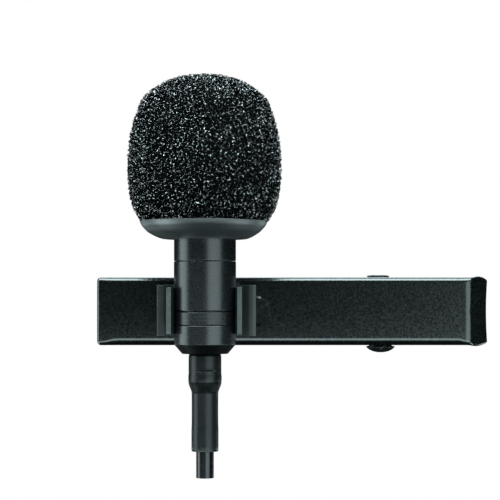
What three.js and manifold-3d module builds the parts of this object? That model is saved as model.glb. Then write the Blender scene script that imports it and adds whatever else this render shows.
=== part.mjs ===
// Lavalier microphone on a tie-bar clip: foam windscreen, electret microphone,
// swivelling snap-in cradle and a sprung two-jaw bar.
// Millimetres. +Z up along the microphone, +X along the bar towards the thumb
// end, -Y forwards, away from the wearer. The origin is on the rear jaw's flat
// outer face, straight behind the microphone's axis at the bar's mid-height.
import * as THREE from 'three';
import { mergeVertices } from 'three/addons/utils/BufferGeometryUtils.js';
import Module from 'manifold-3d';

const wasm = await Module();
wasm.setup();

// -------------------------------------------------------- shared dimensions
const MIC_Y = -9.9;          // microphone axis
const MIC_Z = 0.04;          // height datum of the microphone's own profiles
const CRADLE_Z = 0.1;        // height of the cradle's swivel axis

const SHEET = 0.6;           // thickness of the front plate and rear jaw
const BAR_FRONT_Y = -5.5;    // front plate's outer face
const BAR_IN_Y = BAR_FRONT_Y + SHEET;

const PIN_X = 21.25;
const PIN_Y = -2.7;
const PIN_R = 0.8;
const EAR_R = 1.7;           // rounded ends of the hinge ears

const RIVET_R = 1;           // cradle rivet's shank
const RIVET_HEAD_R = 1.6;
const RIVET_HEAD_BACK = 3.965;

// segments round a turned piece
const FINE = 36;
const MEDIUM = 24;
const COARSE = 12;

// ---------------------------------------------------------- solid modelling
// merge shared vertices, drop empty triangles and turn the faces outwards
function clean(geometry) {
  geometry.deleteAttribute('normal');
  geometry.deleteAttribute('uv');
  const merged = mergeVertices(geometry, 1e-5);
  const position = merged.getAttribute('position');
  const source = merged.getIndex().array;
  const corners = [0, 1, 2].map(() => new THREE.Vector3());
  const faces = [];
  let volume = 0;
  for (let i = 0; i < source.length; i += 3) {
    const face = [source[i], source[i + 1], source[i + 2]];
    if (new Set(face).size < 3) continue;
    faces.push(...face);
    face.forEach((vertex, j) => corners[j].fromBufferAttribute(position, vertex));
    volume += corners[0].dot(corners[1].cross(corners[2])) / 6;
  }
  if (volume < 0) {
    for (let i = 0; i < faces.length; i += 3) {
      [faces[i], faces[i + 1]] = [faces[i + 1], faces[i]];
    }
  }
  merged.setIndex(faces);
  return merged;
}

function indexed(positions, faces) {
  const geometry = new THREE.BufferGeometry();
  const array = new Float32Array(positions);
  geometry.setAttribute('position', new THREE.BufferAttribute(array, 3));
  geometry.setIndex(faces);
  return geometry;
}

const toManifold = (geometry) => new wasm.Manifold(new wasm.Mesh({
  numProp: 3,
  vertProperties: new Float32Array(geometry.getAttribute('position').array),
  triVerts: new Uint32Array(geometry.getIndex().array),
}));

function combine(parts, operation) {
  const mesh = parts.map(toManifold).reduce(operation).getMesh();
  return indexed(mesh.vertProperties, Array.from(mesh.triVerts));
}
const join = (...parts) => combine(parts, (a, b) => a.add(b));
const cut = (...parts) => combine(parts, (a, b) => a.subtract(b));
const common = (...parts) => combine(parts, (a, b) => a.intersect(b));

// a closed profile of [radius, position along the axis], turned round +Y or +Z
function turnY(profile, segments = FINE) {
  const points = profile.map(([radius, along]) => new THREE.Vector2(radius, along));
  if (profile[0][0] > 0 || profile.at(-1)[0] > 0) points.push(points[0].clone());
  return clean(new THREE.LatheGeometry(points, segments));
}
const turnZ = (profile, segments) => turnY(profile, segments).rotateX(Math.PI / 2);

// a tube along Z, or a solid disc where the inner radius is 0
const tube = (inner, outer, bottom, top, segments) => turnZ(
  [[inner, bottom], [outer, bottom], [outer, top], [inner, top]],
  segments,
);
const rodZ = (x, y, radius, bottom, top, segments = MEDIUM) => (
  tube(0, radius, bottom, top, segments).translate(x, y, 0)
);
const rodY = (z, radius, front, back) => clean(
  new THREE.CylinderGeometry(radius, radius, back - front, MEDIUM)
    .translate(0, (front + back) / 2, z),
);

const box = ([x0, x1], [y0, y1], [z0, z1]) => clean(
  new THREE.BoxGeometry(x1 - x0, y1 - y0, z1 - z0)
    .translate((x0 + x1) / 2, (y0 + y1) / 2, (z0 + z1) / 2),
);

const X_AXIS = new THREE.Vector3(1, 0, 0);
const Y_AXIS = new THREE.Vector3(0, 1, 0);
const Z_AXIS = new THREE.Vector3(0, 0, 1);

function extrude(outline, start, end, across, up, along) {
  const shape = new THREE.Shape(outline.map(([a, b]) => new THREE.Vector2(a, b)));
  const options = { depth: end - start, bevelEnabled: false, steps: 1 };
  const geometry = new THREE.ExtrudeGeometry(shape, options);
  geometry.applyMatrix4(new THREE.Matrix4().makeBasis(across, up, along));
  geometry.translate(along.x * start, along.y * start, along.z * start);
  return clean(geometry);
}
// outlines are [y, z] along X, [x, z] along Y and [x, y] along Z
const alongX = (outline, x0, x1) => extrude(outline, x0, x1, Y_AXIS, Z_AXIS, X_AXIS);
const alongY = (outline, y0, y1) => extrude(outline, y0, y1, X_AXIS, Z_AXIS, Y_AXIS);
const alongZ = (outline, z0, z1) => extrude(outline, z0, z1, X_AXIS, Y_AXIS, Z_AXIS);

// points on an arc; angles in degrees
const arc = (x, y, radius, from, to, steps) => Array.from({ length: steps + 1 }, (_, i) => {
  const angle = THREE.MathUtils.degToRad(from + (to - from) * i / steps);
  return [x + radius * Math.cos(angle), y + radius * Math.sin(angle)];
});

// complete a half outline with its reflection in the first or second coordinate
const mirror = (half, first, second) => [
  ...half,
  ...half.slice().reverse().map(([a, b]) => [first * a, second * b]),
];
const mirrorFirst = (half) => mirror(half, -1, 1);
const mirrorSecond = (half) => mirror(half, 1, -1);

// the same piece above and below mid-height
const topAndBottom = (build, inner, outer) => [build(inner, outer), build(-outer, -inner)];

// a wire: the side direction is carried from point to point, so it never twists
function sweep(points, radius, sides) {
  const positions = [];
  const faces = [];
  const last = points.length - 1;
  let side = null;
  points.forEach((point, i) => {
    const tangent = points[Math.min(last, i + 1)].clone()
      .sub(points[Math.max(0, i - 1)]).normalize();
    if (!side) side = Z_AXIS.clone().cross(tangent).normalize();
    side.addScaledVector(tangent, -side.dot(tangent)).normalize();
    const up = tangent.clone().cross(side).normalize();
    for (let j = 0; j < sides; j++) {
      const angle = 2 * Math.PI * (j + 0.5) / sides;
      const corner = point.clone()
        .addScaledVector(side, radius * Math.cos(angle))
        .addScaledVector(up, radius * Math.sin(angle));
      positions.push(...corner);
    }
  });
  for (let i = 0; i < last; i++) {
    for (let j = 0; j < sides; j++) {
      const here = i * sides + j;
      const next = i * sides + (j + 1) % sides;
      faces.push(here, next, next + sides, here, next + sides, here + sides);
    }
  }
  const end = last * sides;
  for (let j = 1; j < sides - 1; j++) {
    faces.push(0, j + 1, j, end, end + j, end + j + 1);
  }
  return clean(indexed(positions, faces));
}

// ---------------------------------------------------------------- materials
const FINISH = {
  foam: { color: 0x0c0d0e, roughness: 0.95 },
  collarRubber: { color: 0x15181b, roughness: 0.5 },
  shell: { color: 0x14171b, roughness: 0.45 },
  paint: { color: 0x121615, roughness: 0.42, metalness: 0.3 },
  blackSteel: { color: 0x0b0d0d, roughness: 0.25, metalness: 0.6 },
  steel: { color: 0x9b9da0, roughness: 0.35, metalness: 0.9 },
  bootRubber: { color: 0x0e1012, roughness: 0.6 },
  jacket: { color: 0x0b0c0e, roughness: 0.35 },
  aluminium: { color: 0xb6b9bd, roughness: 0.35, metalness: 0.9 },
  copper: { color: 0xb5713c, roughness: 0.35, metalness: 0.9 },
  board: { color: 0x1f5a33, roughness: 0.4 },
  darkRubber: { color: 0x1b1b1b, roughness: 0.85 },
  white: { color: 0xe4e2dc, roughness: 0.6 },
  red: { color: 0xa51f1c, roughness: 0.5 },
  black: { color: 0x1a1a1c, roughness: 0.5 },
  mylar: { color: 0xc7a24a, roughness: 0.3, metalness: 0.8 },
  brass: { color: 0xb89a4a, roughness: 0.35, metalness: 0.9 },
  felt: { color: 0x1c1c1c, roughness: 0.95 },
};

const model = new THREE.Group();

function addGroup(y = 0, z = 0) {
  const group = new THREE.Group();
  group.position.set(0, y, z);
  model.add(group);
  return group;
}

function addMesh(group, name, geometry, finish) {
  geometry.computeVertexNormals();
  const mesh = new THREE.Mesh(geometry, new THREE.MeshStandardMaterial(FINISH[finish]));
  mesh.name = name;
  group.add(mesh);
}

// ----------------------------------------------------------------- clip bar
const BAR_WALL_Y = -3.9;     // free edge of the plate's rolled walls
const BAR_HALF_H = 4.17;
const BAR_LEFT = -13.48;
const BAR_BEND = 32.32;      // where the thumb end bends back
const WALL_ROLL_R = 0.6;     // rounded edges along the tray
const END_ROLL_R = 0.5;      // rounded edge at its left end
const CORNER_R = 0.4;

// a shallow tray, open at the back
function tray() {
  const sideYZ = mirrorSecond([
    [BAR_WALL_Y, BAR_HALF_H],
    ...arc(BAR_FRONT_Y + WALL_ROLL_R, BAR_HALF_H - WALL_ROLL_R, WALL_ROLL_R, 90, 180, 6),
  ]);
  const topXY = [
    [BAR_LEFT, BAR_WALL_Y],
    ...arc(BAR_LEFT + END_ROLL_R, BAR_FRONT_Y + END_ROLL_R, END_ROLL_R, 180, 270, 5),
    [BAR_BEND, BAR_FRONT_Y],
    [BAR_BEND, BAR_WALL_Y],
  ];
  const frontXZ = mirrorSecond([
    [BAR_BEND, BAR_HALF_H],
    ...arc(BAR_LEFT + CORNER_R, BAR_HALF_H - CORNER_R, CORNER_R, 90, 180, 4),
  ]);
  const insideHalfH = BAR_HALF_H - SHEET;
  return cut(
    common(
      alongX(sideYZ, BAR_LEFT - 1, BAR_BEND),
      alongZ(topXY, -5, 5),
      alongY(frontXZ, -6, -3),
    ),
    box([BAR_LEFT + SHEET, BAR_BEND + 1], [BAR_IN_Y, 0], [-insideHalfH, insideHalfH]),
  );
}

// thumb end: bent back and slightly flared
const THUMB_X = 34.65;       // its free edge
const THUMB_Y = -2.4;
const THUMB_ROOT_X = 31;

function thumbEnd() {
  const slope = Math.atan2(THUMB_Y - BAR_FRONT_Y, THUMB_X - BAR_BEND);
  const topXY = [
    [THUMB_ROOT_X, BAR_FRONT_Y],
    [BAR_BEND, BAR_FRONT_Y],
    [BAR_BEND + 0.2, BAR_FRONT_Y + 0.16],
    [THUMB_X, THUMB_Y],
    [THUMB_X - Math.sin(slope) * SHEET, THUMB_Y + Math.cos(slope) * SHEET],
    [BAR_BEND - 0.45, BAR_IN_Y],
    [THUMB_ROOT_X, BAR_IN_Y],
  ];
  const frontXZ = mirrorSecond([
    [31.5, 3.3], [32.1, 3.3], [32.45, 4.1], [32.8, 4.34], [33.5, 4.32], [34.1, 4.18],
    [34.5, 4.08], [THUMB_X, 3.95], [THUMB_X - 0.08, 3.0], [THUMB_X - 0.13, 1.5],
  ]);
  return common(alongZ(topXY, -5, 5), alongY(frontXZ, -6, -1));
}

function barEars() {
  const outline = [
    [PIN_X - 3.1, BAR_WALL_Y - 0.3],
    [PIN_X + 3.1, BAR_WALL_Y - 0.3],
    [PIN_X + 3.0, BAR_WALL_Y],
    ...arc(PIN_X, PIN_Y, EAR_R, 15, 165, 10),
    [PIN_X - 3.0, BAR_WALL_Y],
  ];
  return topAndBottom((z0, z1) => alongZ(outline, z0, z1), BAR_HALF_H - SHEET, BAR_HALF_H);
}

// low round boss on the front face, beside the cradle
const BOSS_X = 4.8;
const BOSS_R = 2.5;
const BOSS_PROUD = 0.2;
const BOSS_SUNK = 0.2;       // overlap with the plate

function boss() {
  return turnY([
    [0, BOSS_SUNK], [BOSS_R, BOSS_SUNK], [BOSS_R, -0.1],
    [BOSS_R - 0.15, -BOSS_PROUD], [0, -BOSS_PROUD],
  ], MEDIUM).translate(BOSS_X, BAR_FRONT_Y, MIC_Z);
}

const frontPlate = () => cut(
  join(tray(), thumbEnd(), ...barEars(), boss()),
  rodZ(PIN_X, PIN_Y, PIN_R + 0.05, -5, 5),
  rodY(CRADLE_Z, RIVET_R + 0.04, -6.5, -4),
);

// hinge pin: a turned rivet, flat head on top and a low dome underneath
const PIN_SHOULDER = BAR_HALF_H + 0.02;
const PIN_PROFILE = [        // [radius, z]
  [0, -5.03], [0.55, -5.0], [1.05, -4.88], [1.45, -4.7], [1.68, -4.52], [1.75, -4.42],
  [1.66, -4.34], [1.3, -4.3], [1.25, -PIN_SHOULDER], [PIN_R, -PIN_SHOULDER],
  [PIN_R, PIN_SHOULDER], [1.12, PIN_SHOULDER], [1.12, 4.36], [1.5, 4.4], [1.55, 4.47],
  [1.5, 4.57], [1.35, 4.62], [0, 4.63],
];
const hingePin = () => turnZ(PIN_PROFILE, MEDIUM).translate(PIN_X, PIN_Y, 0);

// torsion spring: coils round the pin; the top leg presses the front plate and
// the bottom leg the thumb lever
const WIRE_R = 0.25;
const WIRE_SIDES = 6;
const COIL_R = 1.8;
const COIL_TURNS = 5.5;
const COIL_STEPS = 80;
const COIL_HALF = 1.55;      // half the coil's height
const LEG_LENGTH = 7.6;      // leg's end, from the pin's axis along X

function torsionSpring() {
  const points = [];
  const addPoint = (x, y, z) => points.push(new THREE.Vector3(PIN_X + x, PIN_Y + y, z));
  addPoint(LEG_LENGTH, COIL_R + 1.05, -COIL_HALF);
  addPoint(4.6, COIL_R + 0.3, -COIL_HALF);
  addPoint(2.3, COIL_R, -COIL_HALF);
  // the coils start at the back and end at the front
  for (let i = 0; i <= COIL_STEPS; i++) {
    const angle = Math.PI / 2 + COIL_TURNS * 2 * Math.PI * i / COIL_STEPS;
    const z = -COIL_HALF + 2 * COIL_HALF * i / COIL_STEPS;
    addPoint(COIL_R * Math.cos(angle), COIL_R * Math.sin(angle), z);
  }
  addPoint(2.5, -COIL_R, COIL_HALF);
  addPoint(LEG_LENGTH, -COIL_R, COIL_HALF);
  return sweep(points, WIRE_R, WIRE_SIDES);
}

const bar = addGroup();
addMesh(bar, 'front_plate', frontPlate(), 'paint');
addMesh(bar, 'hinge_pin', hingePin(), 'blackSteel');
addMesh(bar, 'torsion_spring', torsionSpring(), 'steel');

// ----------------------------------------------------------------- rear jaw
const JAW_HALF_H = 3.4;
const JAW_SIDE_IN = 2.85;    // inner faces of the side flanges and ears
const JAW_ROOT_Y = -SHEET / 2; // teeth, flanges and ears start inside the sheet
const JAW_LEFT = -12.3;
const JAW_BEND = 24;         // where the thumb lever starts
const JAW_TIP_Y = -4.75;
const TEETH = 6;
const TOOTH_DEPTH = 0.7;
const TOOTH_HALF_FLAT = 0.08;
const LEVER_X = 33.2;
const LEVER_Y = 2.5;

// flat jaw and the lever bent back from it
function jawSheet() {
  const topXY = [
    [JAW_LEFT, 0], [JAW_BEND, 0], [LEVER_X - 0.1, LEVER_Y], [LEVER_X + 0.15, LEVER_Y - 0.1],
    [LEVER_X + 0.2, LEVER_Y - 0.5], [JAW_BEND + 0.1, -SHEET], [JAW_LEFT, -SHEET],
  ];
  const frontXZ = mirrorSecond([
    [JAW_LEFT, JAW_HALF_H], [JAW_BEND, JAW_HALF_H], [LEVER_X - 1.2, JAW_HALF_H],
    [LEVER_X - 0.2, JAW_HALF_H - 0.35], [LEVER_X + 0.2, JAW_HALF_H - 1.2],
    [LEVER_X + 0.25, 0.1],
  ]);
  return common(alongZ(topXY, -4, 4), alongY(frontXZ, -5, 3));
}

function toothedTip() {
  const pitch = 2 * JAW_HALF_H / TEETH;
  const valleyY = JAW_TIP_Y + TOOTH_DEPTH;
  const outline = [[JAW_ROOT_Y, -JAW_HALF_H]];
  for (let i = 0; i < TEETH; i++) {
    const valleyZ = -JAW_HALF_H + i * pitch;
    const toothZ = valleyZ + pitch / 2;
    outline.push(
      [valleyY, valleyZ],
      [JAW_TIP_Y, toothZ - TOOTH_HALF_FLAT],
      [JAW_TIP_Y, toothZ + TOOTH_HALF_FLAT],
    );
  }
  outline.push([valleyY, JAW_HALF_H], [JAW_ROOT_Y, JAW_HALF_H]);
  return alongX(outline, JAW_LEFT, JAW_LEFT + SHEET);
}

function rearJaw() {
  const earXY = [
    [PIN_X - 3.4, JAW_ROOT_Y],
    [PIN_X - 1.62, PIN_Y + 0.5],
    ...arc(PIN_X, PIN_Y, EAR_R, 163, 377, 14),
    [PIN_X + 2.7, JAW_ROOT_Y],
  ];
  const sideFlange = (z0, z1) => box([JAW_LEFT, JAW_BEND], [-1.5, JAW_ROOT_Y], [z0, z1]);
  const ear = (z0, z1) => alongZ(earXY, z0, z1);
  return cut(
    join(
      jawSheet(),
      toothedTip(),
      ...topAndBottom(sideFlange, JAW_SIDE_IN, JAW_HALF_H),
      ...topAndBottom(ear, JAW_SIDE_IN, JAW_HALF_H),
    ),
    rodZ(PIN_X, PIN_Y, PIN_R + 0.08, -5, 5),
  );
}

addMesh(addGroup(), 'rear_jaw', rearJaw(), 'paint');

// ------------------------------------------- cradle, from the swivel's height
// on the microphone's axis
const ARM_IN = 3.79;         // inner and outer radii of the arms
const ARM_OUT = 4.39;
const ARM_HALF_H = 2.8;
const ARM_ROOT_X = 3.3;
const WING_X = 6.05;
const WING_HALF_H = 3.115;
const WING_FRONT = 3.5;
const WING_BACK = 4.1;
const PAD_R = 2.1;           // round pad against the bar
const PAD_BACK = 4.35;

function micCradle() {
  const armsXY = mirrorFirst([
    [0, WING_BACK], [ARM_ROOT_X, WING_BACK], [ARM_ROOT_X, WING_FRONT],
    ...arc(0, 0, ARM_OUT, 44, -10, 9),
    [4.4, -1.45], [4.58, -2.1], [4.62, -2.4], [4.52, -2.68], [4.3, -2.82], [4.08, -2.76],
    [3.72, -2.45],
    ...arc(0, 0, ARM_IN, -32, 88, 20),
  ]);
  const wingsXY = mirrorFirst([
    [0, WING_BACK], [WING_X, WING_BACK], [WING_X, WING_FRONT + 0.08],
    [WING_X - 0.08, WING_FRONT], [2.5, WING_FRONT],
    ...arc(0, 0, ARM_IN, 66, 88, 4),
  ]);
  return cut(
    join(
      alongZ(armsXY, -ARM_HALF_H, ARM_HALF_H),
      alongZ(wingsXY, -WING_HALF_H, WING_HALF_H),
      rodY(0, PAD_R, WING_BACK - 0.1, PAD_BACK),
    ),
    rodY(0, RIVET_R + 0.07, 3, 5),
    rodY(0, RIVET_HEAD_R + 0.1, 2.5, RIVET_HEAD_BACK + 0.025),
  );
}

addMesh(addGroup(MIC_Y, CRADLE_Z), 'mic_cradle', micCradle(), 'paint');

// swivel rivet: thin head let into the cradle, shank through the bar, washer
// and upset tail behind it. It stays with the bar.
const PLATE_BACK = BAR_IN_Y - MIC_Y; // plate's inner face, from the microphone's axis
const RIVET_HEAD_FRONT = RIVET_HEAD_BACK - 0.2;
const TAIL_FRONT = PLATE_BACK + 0.36;
const RIVET_PROFILE = [      // [radius, y]
  [0, RIVET_HEAD_FRONT], [RIVET_HEAD_R, RIVET_HEAD_FRONT], [RIVET_HEAD_R, RIVET_HEAD_BACK],
  [RIVET_R, RIVET_HEAD_BACK], [RIVET_R, TAIL_FRONT], [1.5, TAIL_FRONT],
  [1.45, PLATE_BACK + 0.62], [1.1, PLATE_BACK + 0.82], [0, PLATE_BACK + 0.88],
];
const WASHER_PROFILE = [     // [radius, y]
  [1.06, PLATE_BACK + 0.02], [2.1, PLATE_BACK + 0.02],
  [2.1, PLATE_BACK + 0.33], [1.06, PLATE_BACK + 0.33],
];

const rivet = addGroup(MIC_Y, CRADLE_Z);
addMesh(rivet, 'cradle_rivet', turnY(RIVET_PROFILE, MEDIUM), 'blackSteel');
addMesh(rivet, 'cradle_washer', turnY(WASHER_PROFILE, MEDIUM), 'steel');

// --------------------------------- microphone; turned profiles are [radius, z]
const BARREL_R = 3.72;
const EDGE = 0.06;           // chamfer on the barrel and cap
const HEAD_R = 3.71;
const HEAD_TOP = 14.3;
const HEAD_LIP = 0.25;
const SEAM_Z = 6;            // between barrel and head
const SPIGOT_BOTTOM = SEAM_Z - 1.8;
const RING_TOP = -0.06;
const RING_BOTTOM = -1.68;
const RING_GAP = 0.02;
const BARREL_BOTTOM = RING_TOP + RING_GAP;
const CAP_TOP = RING_BOTTOM - RING_GAP;
const CAP_EDGE = -3.96;      // where the cap starts to taper
const CAP_BOTTOM = -5.1;
const CAP_R = 2.75;
const CAN_R = 3;
const CAN_WALL = 0.2;
const CAN_BOTTOM = 10.2;
const CAN_TOP = 12.9;
const CAN_FIT_R = 2.74;      // pieces that fit inside the can
const HOLE_CIRCLE_R = 1.3;   // ring of holes in the backplate
const HOLE_R = 0.22;
const HOLES = 6;
const LEAD_X = 0.5;
const CONDUCTOR_X = 0.29;
const CABLE_R = 1.06;
const CABLE_END = -20;

const mic = addGroup(MIC_Y, MIC_Z);
const addTurned = (name, profile, segments, finish) => (
  addMesh(mic, name, turnZ(profile, segments), finish)
);

// rows: name, inner radius, outer radius, bottom, top, segments, finish, x if not 0
function addTubes(rows) {
  for (const [name, inner, outer, bottom, top, segments, finish, x = 0] of rows) {
    addMesh(mic, name, tube(inner, outer, bottom, top, segments).translate(x, 0, 0), finish);
  }
}

// head shell: carries the capsule, screws into the barrel
addTurned('head_shell', [
  [3.05, SPIGOT_BOTTOM], [3.05, SEAM_Z + 0.02], [HEAD_R, SEAM_Z + 0.02],
  [HEAD_R, HEAD_TOP - HEAD_LIP], [3.5, HEAD_TOP], [2.6, HEAD_TOP],
  [2.6, HEAD_TOP - HEAD_LIP], [3.35, HEAD_TOP - HEAD_LIP], [3.35, SEAM_Z + 0.6],
  [2.7, SEAM_Z + 0.2], [2.7, SPIGOT_BOTTOM],
], FINE, 'shell');
addTubes([
  ['head_grille', 0, 3.25, 13.76, 14, FINE, 'steel'],
  ['felt_disc', 0, 3.25, 13.2, 13.7, MEDIUM, 'felt'],
]);

// electret capsule in its rubber boot
addTurned('capsule_boot', [
  [1, 9.3], [3.3, 9.3], [3.3, 13.1], [3.06, 13.1], [3.06, 10.1], [1, 10.1],
], MEDIUM, 'darkRubber');
addTurned('capsule_can', [
  [CAN_R - CAN_WALL, CAN_BOTTOM], [CAN_R, CAN_BOTTOM], [CAN_R, CAN_TOP], [0.5, CAN_TOP],
  [0.5, CAN_TOP - CAN_WALL], [CAN_R - CAN_WALL, CAN_TOP - CAN_WALL],
], MEDIUM, 'aluminium');
addTubes([
  ['diaphragm', 0, CAN_FIT_R, 12.5, 12.64, MEDIUM, 'mylar'],
  ['diaphragm_spacer', 2.35, CAN_FIT_R, 12.36, 12.46, MEDIUM, 'white'],
]);

function backplate() {
  const holes = Array.from({ length: HOLES }, (_, i) => {
    const angle = 2 * Math.PI * i / HOLES;
    const x = HOLE_CIRCLE_R * Math.cos(angle);
    const y = HOLE_CIRCLE_R * Math.sin(angle);
    return rodZ(x, y, HOLE_R, 11.5, 12.8, 8);
  });
  return cut(tube(0, 2.7, 12, 12.3, MEDIUM), ...holes);
}
addMesh(mic, 'backplate', backplate(), 'copper');
addTubes([
  ['backplate_holder', 2.3, CAN_FIT_R, 10.92, 11.95, MEDIUM, 'white'],
  ['capsule_board', 0, CAN_FIT_R, 10.35, 10.85, MEDIUM, 'board'],
]);
addMesh(mic, 'jfet', box([-0.65, 0.65], [-0.45, 0.45], [10.9, 11.5]), 'black');
addTubes([
  ['signal_lead', 0, 0.18, 2.92, 10.3, COARSE, 'red', LEAD_X],
  ['ground_lead', 0, 0.18, 2.92, 10.3, COARSE, 'black', -LEAD_X],
]);

// barrel and the board where the cable ends
addTurned('main_barrel', [
  [3.1, BARREL_BOTTOM], [BARREL_R - EDGE, BARREL_BOTTOM], [BARREL_R, BARREL_BOTTOM + EDGE],
  [BARREL_R, SEAM_Z - EDGE], [BARREL_R - EDGE, SEAM_Z], [3.1, SEAM_Z],
], FINE, 'shell');
addTubes([['termination_board', 0, 2.95, 2, 2.8, MEDIUM, 'board']]);
for (const [letter, front] of [['a', 0.9], ['b', -1.4]]) {
  const block = box([-0.5, 0.5], [front, front + 0.5], [2.86, 3.36]);
  addMesh(mic, `emi_capacitor_${letter}`, block, 'white');
}

// rear cap: threaded spigot through the ring, chamfered end, floor for the boot
addTurned('rear_cap', [
  [1.5, CAP_BOTTOM], [CAP_R, CAP_BOTTOM], [CAP_R + 0.08, CAP_BOTTOM + 0.06],
  [BARREL_R, CAP_EDGE], [BARREL_R, CAP_TOP - EDGE], [BARREL_R - EDGE, CAP_TOP],
  [2.95, CAP_TOP], [2.95, 1.6], [2.2, 1.6], [2.2, -3.2], [1.5, -3.2],
], FINE, 'shell');
addTurned('strain_relief_boot', [
  [1.12, -2.7], [2.0, -2.7], [2.0, -3.15], [1.44, -3.15], [1.44, -5.14], [1.93, -5.16],
  [1.97, -5.3], [1.96, -6.6], [1.99, -7.4], [2.0, -8.2], [1.95, -8.7], [1.83, -9.1],
  [1.66, -9.5], [1.6, -9.75], [1.585, -11.5], [1.59, -13.7], [1.62, -14.2],
  [1.62, -16.7], [1.54, -16.8], [1.12, -16.8],
], MEDIUM, 'bootRubber');

// crimp, the cable cut off square, and the ring between barrel and cap
addTubes([
  ['cable_crimp', 1.13, 1.6, -2.6, -0.9, MEDIUM, 'brass'],
  ['cable_jacket', 0.76, CABLE_R, CABLE_END, 0.6, MEDIUM, 'jacket'],
  ['cable_shield', 0.6, 0.72, CABLE_END, 1, MEDIUM, 'copper'],
  ['conductor_red', 0.13, 0.25, CABLE_END, 1.5, COARSE, 'red', CONDUCTOR_X],
  ['core_red', 0, 0.11, CABLE_END, 1.9, COARSE, 'copper', CONDUCTOR_X],
  ['conductor_white', 0.13, 0.25, CABLE_END, 1.5, COARSE, 'white', -CONDUCTOR_X],
  ['core_white', 0, 0.11, CABLE_END, 1.9, COARSE, 'copper', -CONDUCTOR_X],
  ['ribbed_ring', 3.02, 3.69, RING_BOTTOM + RING_GAP, RING_TOP - RING_GAP, FINE, 'shell'],
]);

// --------------------------------------------------------------- windscreen
addTurned('windscreen_collar', [
  [3.8, 8.64], [4.95, 8.64], [5.15, 8.7], [5.98, 9.06], [6.72, 9.54], [7.16, 10.0],
  [7.49, 10.5], [7.62, 10.8], [7.0, 10.8], [6.2, 9.9], [4.7, 9.5], [4.7, 10.8], [3.8, 10.8],
], FINE, 'collarRubber');
addTurned('foam_windscreen', [
  [3.88, 10.9], [4.8, 10.9], [4.8, 9.66], [6.12, 10.02], [6.9, 10.9], [7.8, 10.9],
  [8.08, 11.5], [8.33, 11.9], [8.57, 12.4], [8.88, 13.4], [9.02, 14.3], [9.16, 15.3],
  [9.21, 16.5], [9.2, 18.2], [9.16, 19.1], [9.06, 20.1], [8.95, 21.1], [8.7, 22.0],
  [8.48, 23.0], [8.11, 23.9], [7.78, 24.9], [7.3, 25.6], [6.54, 26.3], [5.94, 26.8],
  [5.34, 27.25], [3.96, 27.8], [2.0, 28.25], [0, 28.4], [0, 14.6], [3.88, 14.6],
], FINE, 'foam');

export default model;
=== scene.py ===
"""A lavalier microphone with a foam windscreen, held by a tie-bar clip.

The row frame is in metres: +Z up along the microphone, +X along the bar towards the thumb
end, -Y forwards. Shapes are worked out in millimetres and scaled by MM. Heights of the
microphone's turned parts are measured from MIC_Z, on the microphone's axis.
"""
import math
from itertools import combinations, product

import bmesh
import bpy
import numpy as np
from mathutils import Matrix, Vector


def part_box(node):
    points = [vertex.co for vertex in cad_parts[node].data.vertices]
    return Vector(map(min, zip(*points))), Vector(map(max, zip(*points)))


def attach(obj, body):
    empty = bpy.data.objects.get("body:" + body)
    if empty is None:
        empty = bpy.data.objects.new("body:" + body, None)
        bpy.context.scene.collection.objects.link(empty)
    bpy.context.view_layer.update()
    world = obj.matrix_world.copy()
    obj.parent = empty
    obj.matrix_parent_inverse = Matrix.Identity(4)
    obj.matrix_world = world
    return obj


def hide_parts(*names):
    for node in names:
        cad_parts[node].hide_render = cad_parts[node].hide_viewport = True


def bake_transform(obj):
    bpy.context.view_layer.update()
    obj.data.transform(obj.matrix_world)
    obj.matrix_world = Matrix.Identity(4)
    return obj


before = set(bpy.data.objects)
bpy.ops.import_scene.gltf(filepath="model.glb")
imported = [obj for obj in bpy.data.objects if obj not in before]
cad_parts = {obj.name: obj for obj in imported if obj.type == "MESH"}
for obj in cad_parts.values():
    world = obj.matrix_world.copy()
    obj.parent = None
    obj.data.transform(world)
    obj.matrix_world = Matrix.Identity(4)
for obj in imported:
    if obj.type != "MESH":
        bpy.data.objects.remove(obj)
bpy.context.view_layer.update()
MM = 0.001


# ------------------------------------------------------------------ datums from the CAD
def cad_centre(node):
    """The middle of a CAD piece's box, in mm."""
    low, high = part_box(node)
    return [(a + b) / 2 / MM for a, b in zip(low, high)]


CABLE_DROP = 20.0                   # from the microphone's height datum to the cable's end
MIC_X, MIC_Y, _ = cad_centre("main_barrel")
MIC_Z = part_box("cable_jacket")[0].z / MM + CABLE_DROP
MIC_AT = (MIC_X, MIC_Y, MIC_Z)
BAR_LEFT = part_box("front_plate")[0].x / MM
BAR_FRONT = -5.5                    # y of the plate's outer face
PIN_X, PIN_Y, _ = cad_centre("hinge_pin")
CRADLE_Z = cad_centre("mic_cradle")[2]
CRADLE_AT = (MIC_X, MIC_Y, CRADLE_Z)

BARREL_RADIUS = 3.72
SHEET = 0.6                         # thickness of the clip's pressed sheet
EAR_RADIUS = 1.7                    # the hinge ears, round the pin


# ------------------------------------------------------------------ mesh helpers
def add_mesh_object(name, mesh, material):
    ob = bpy.data.objects.new(name, mesh)
    bpy.context.scene.collection.objects.link(ob)
    if material:
        ob.data.materials.append(material)
    return ob


def polygon_object(name, verts, faces, material, smooth=True):
    """A mesh object from points in mm and faces of any size."""
    mesh = bpy.data.meshes.new(name)
    points = np.asarray(verts, float) * MM
    mesh.from_pydata([tuple(p) for p in points], [], [tuple(int(i) for i in f) for f in faces])
    mesh.validate(clean_customdata=False)
    mesh.update()
    if smooth:
        mesh.shade_smooth()
    return add_mesh_object(name, mesh, material)


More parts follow.
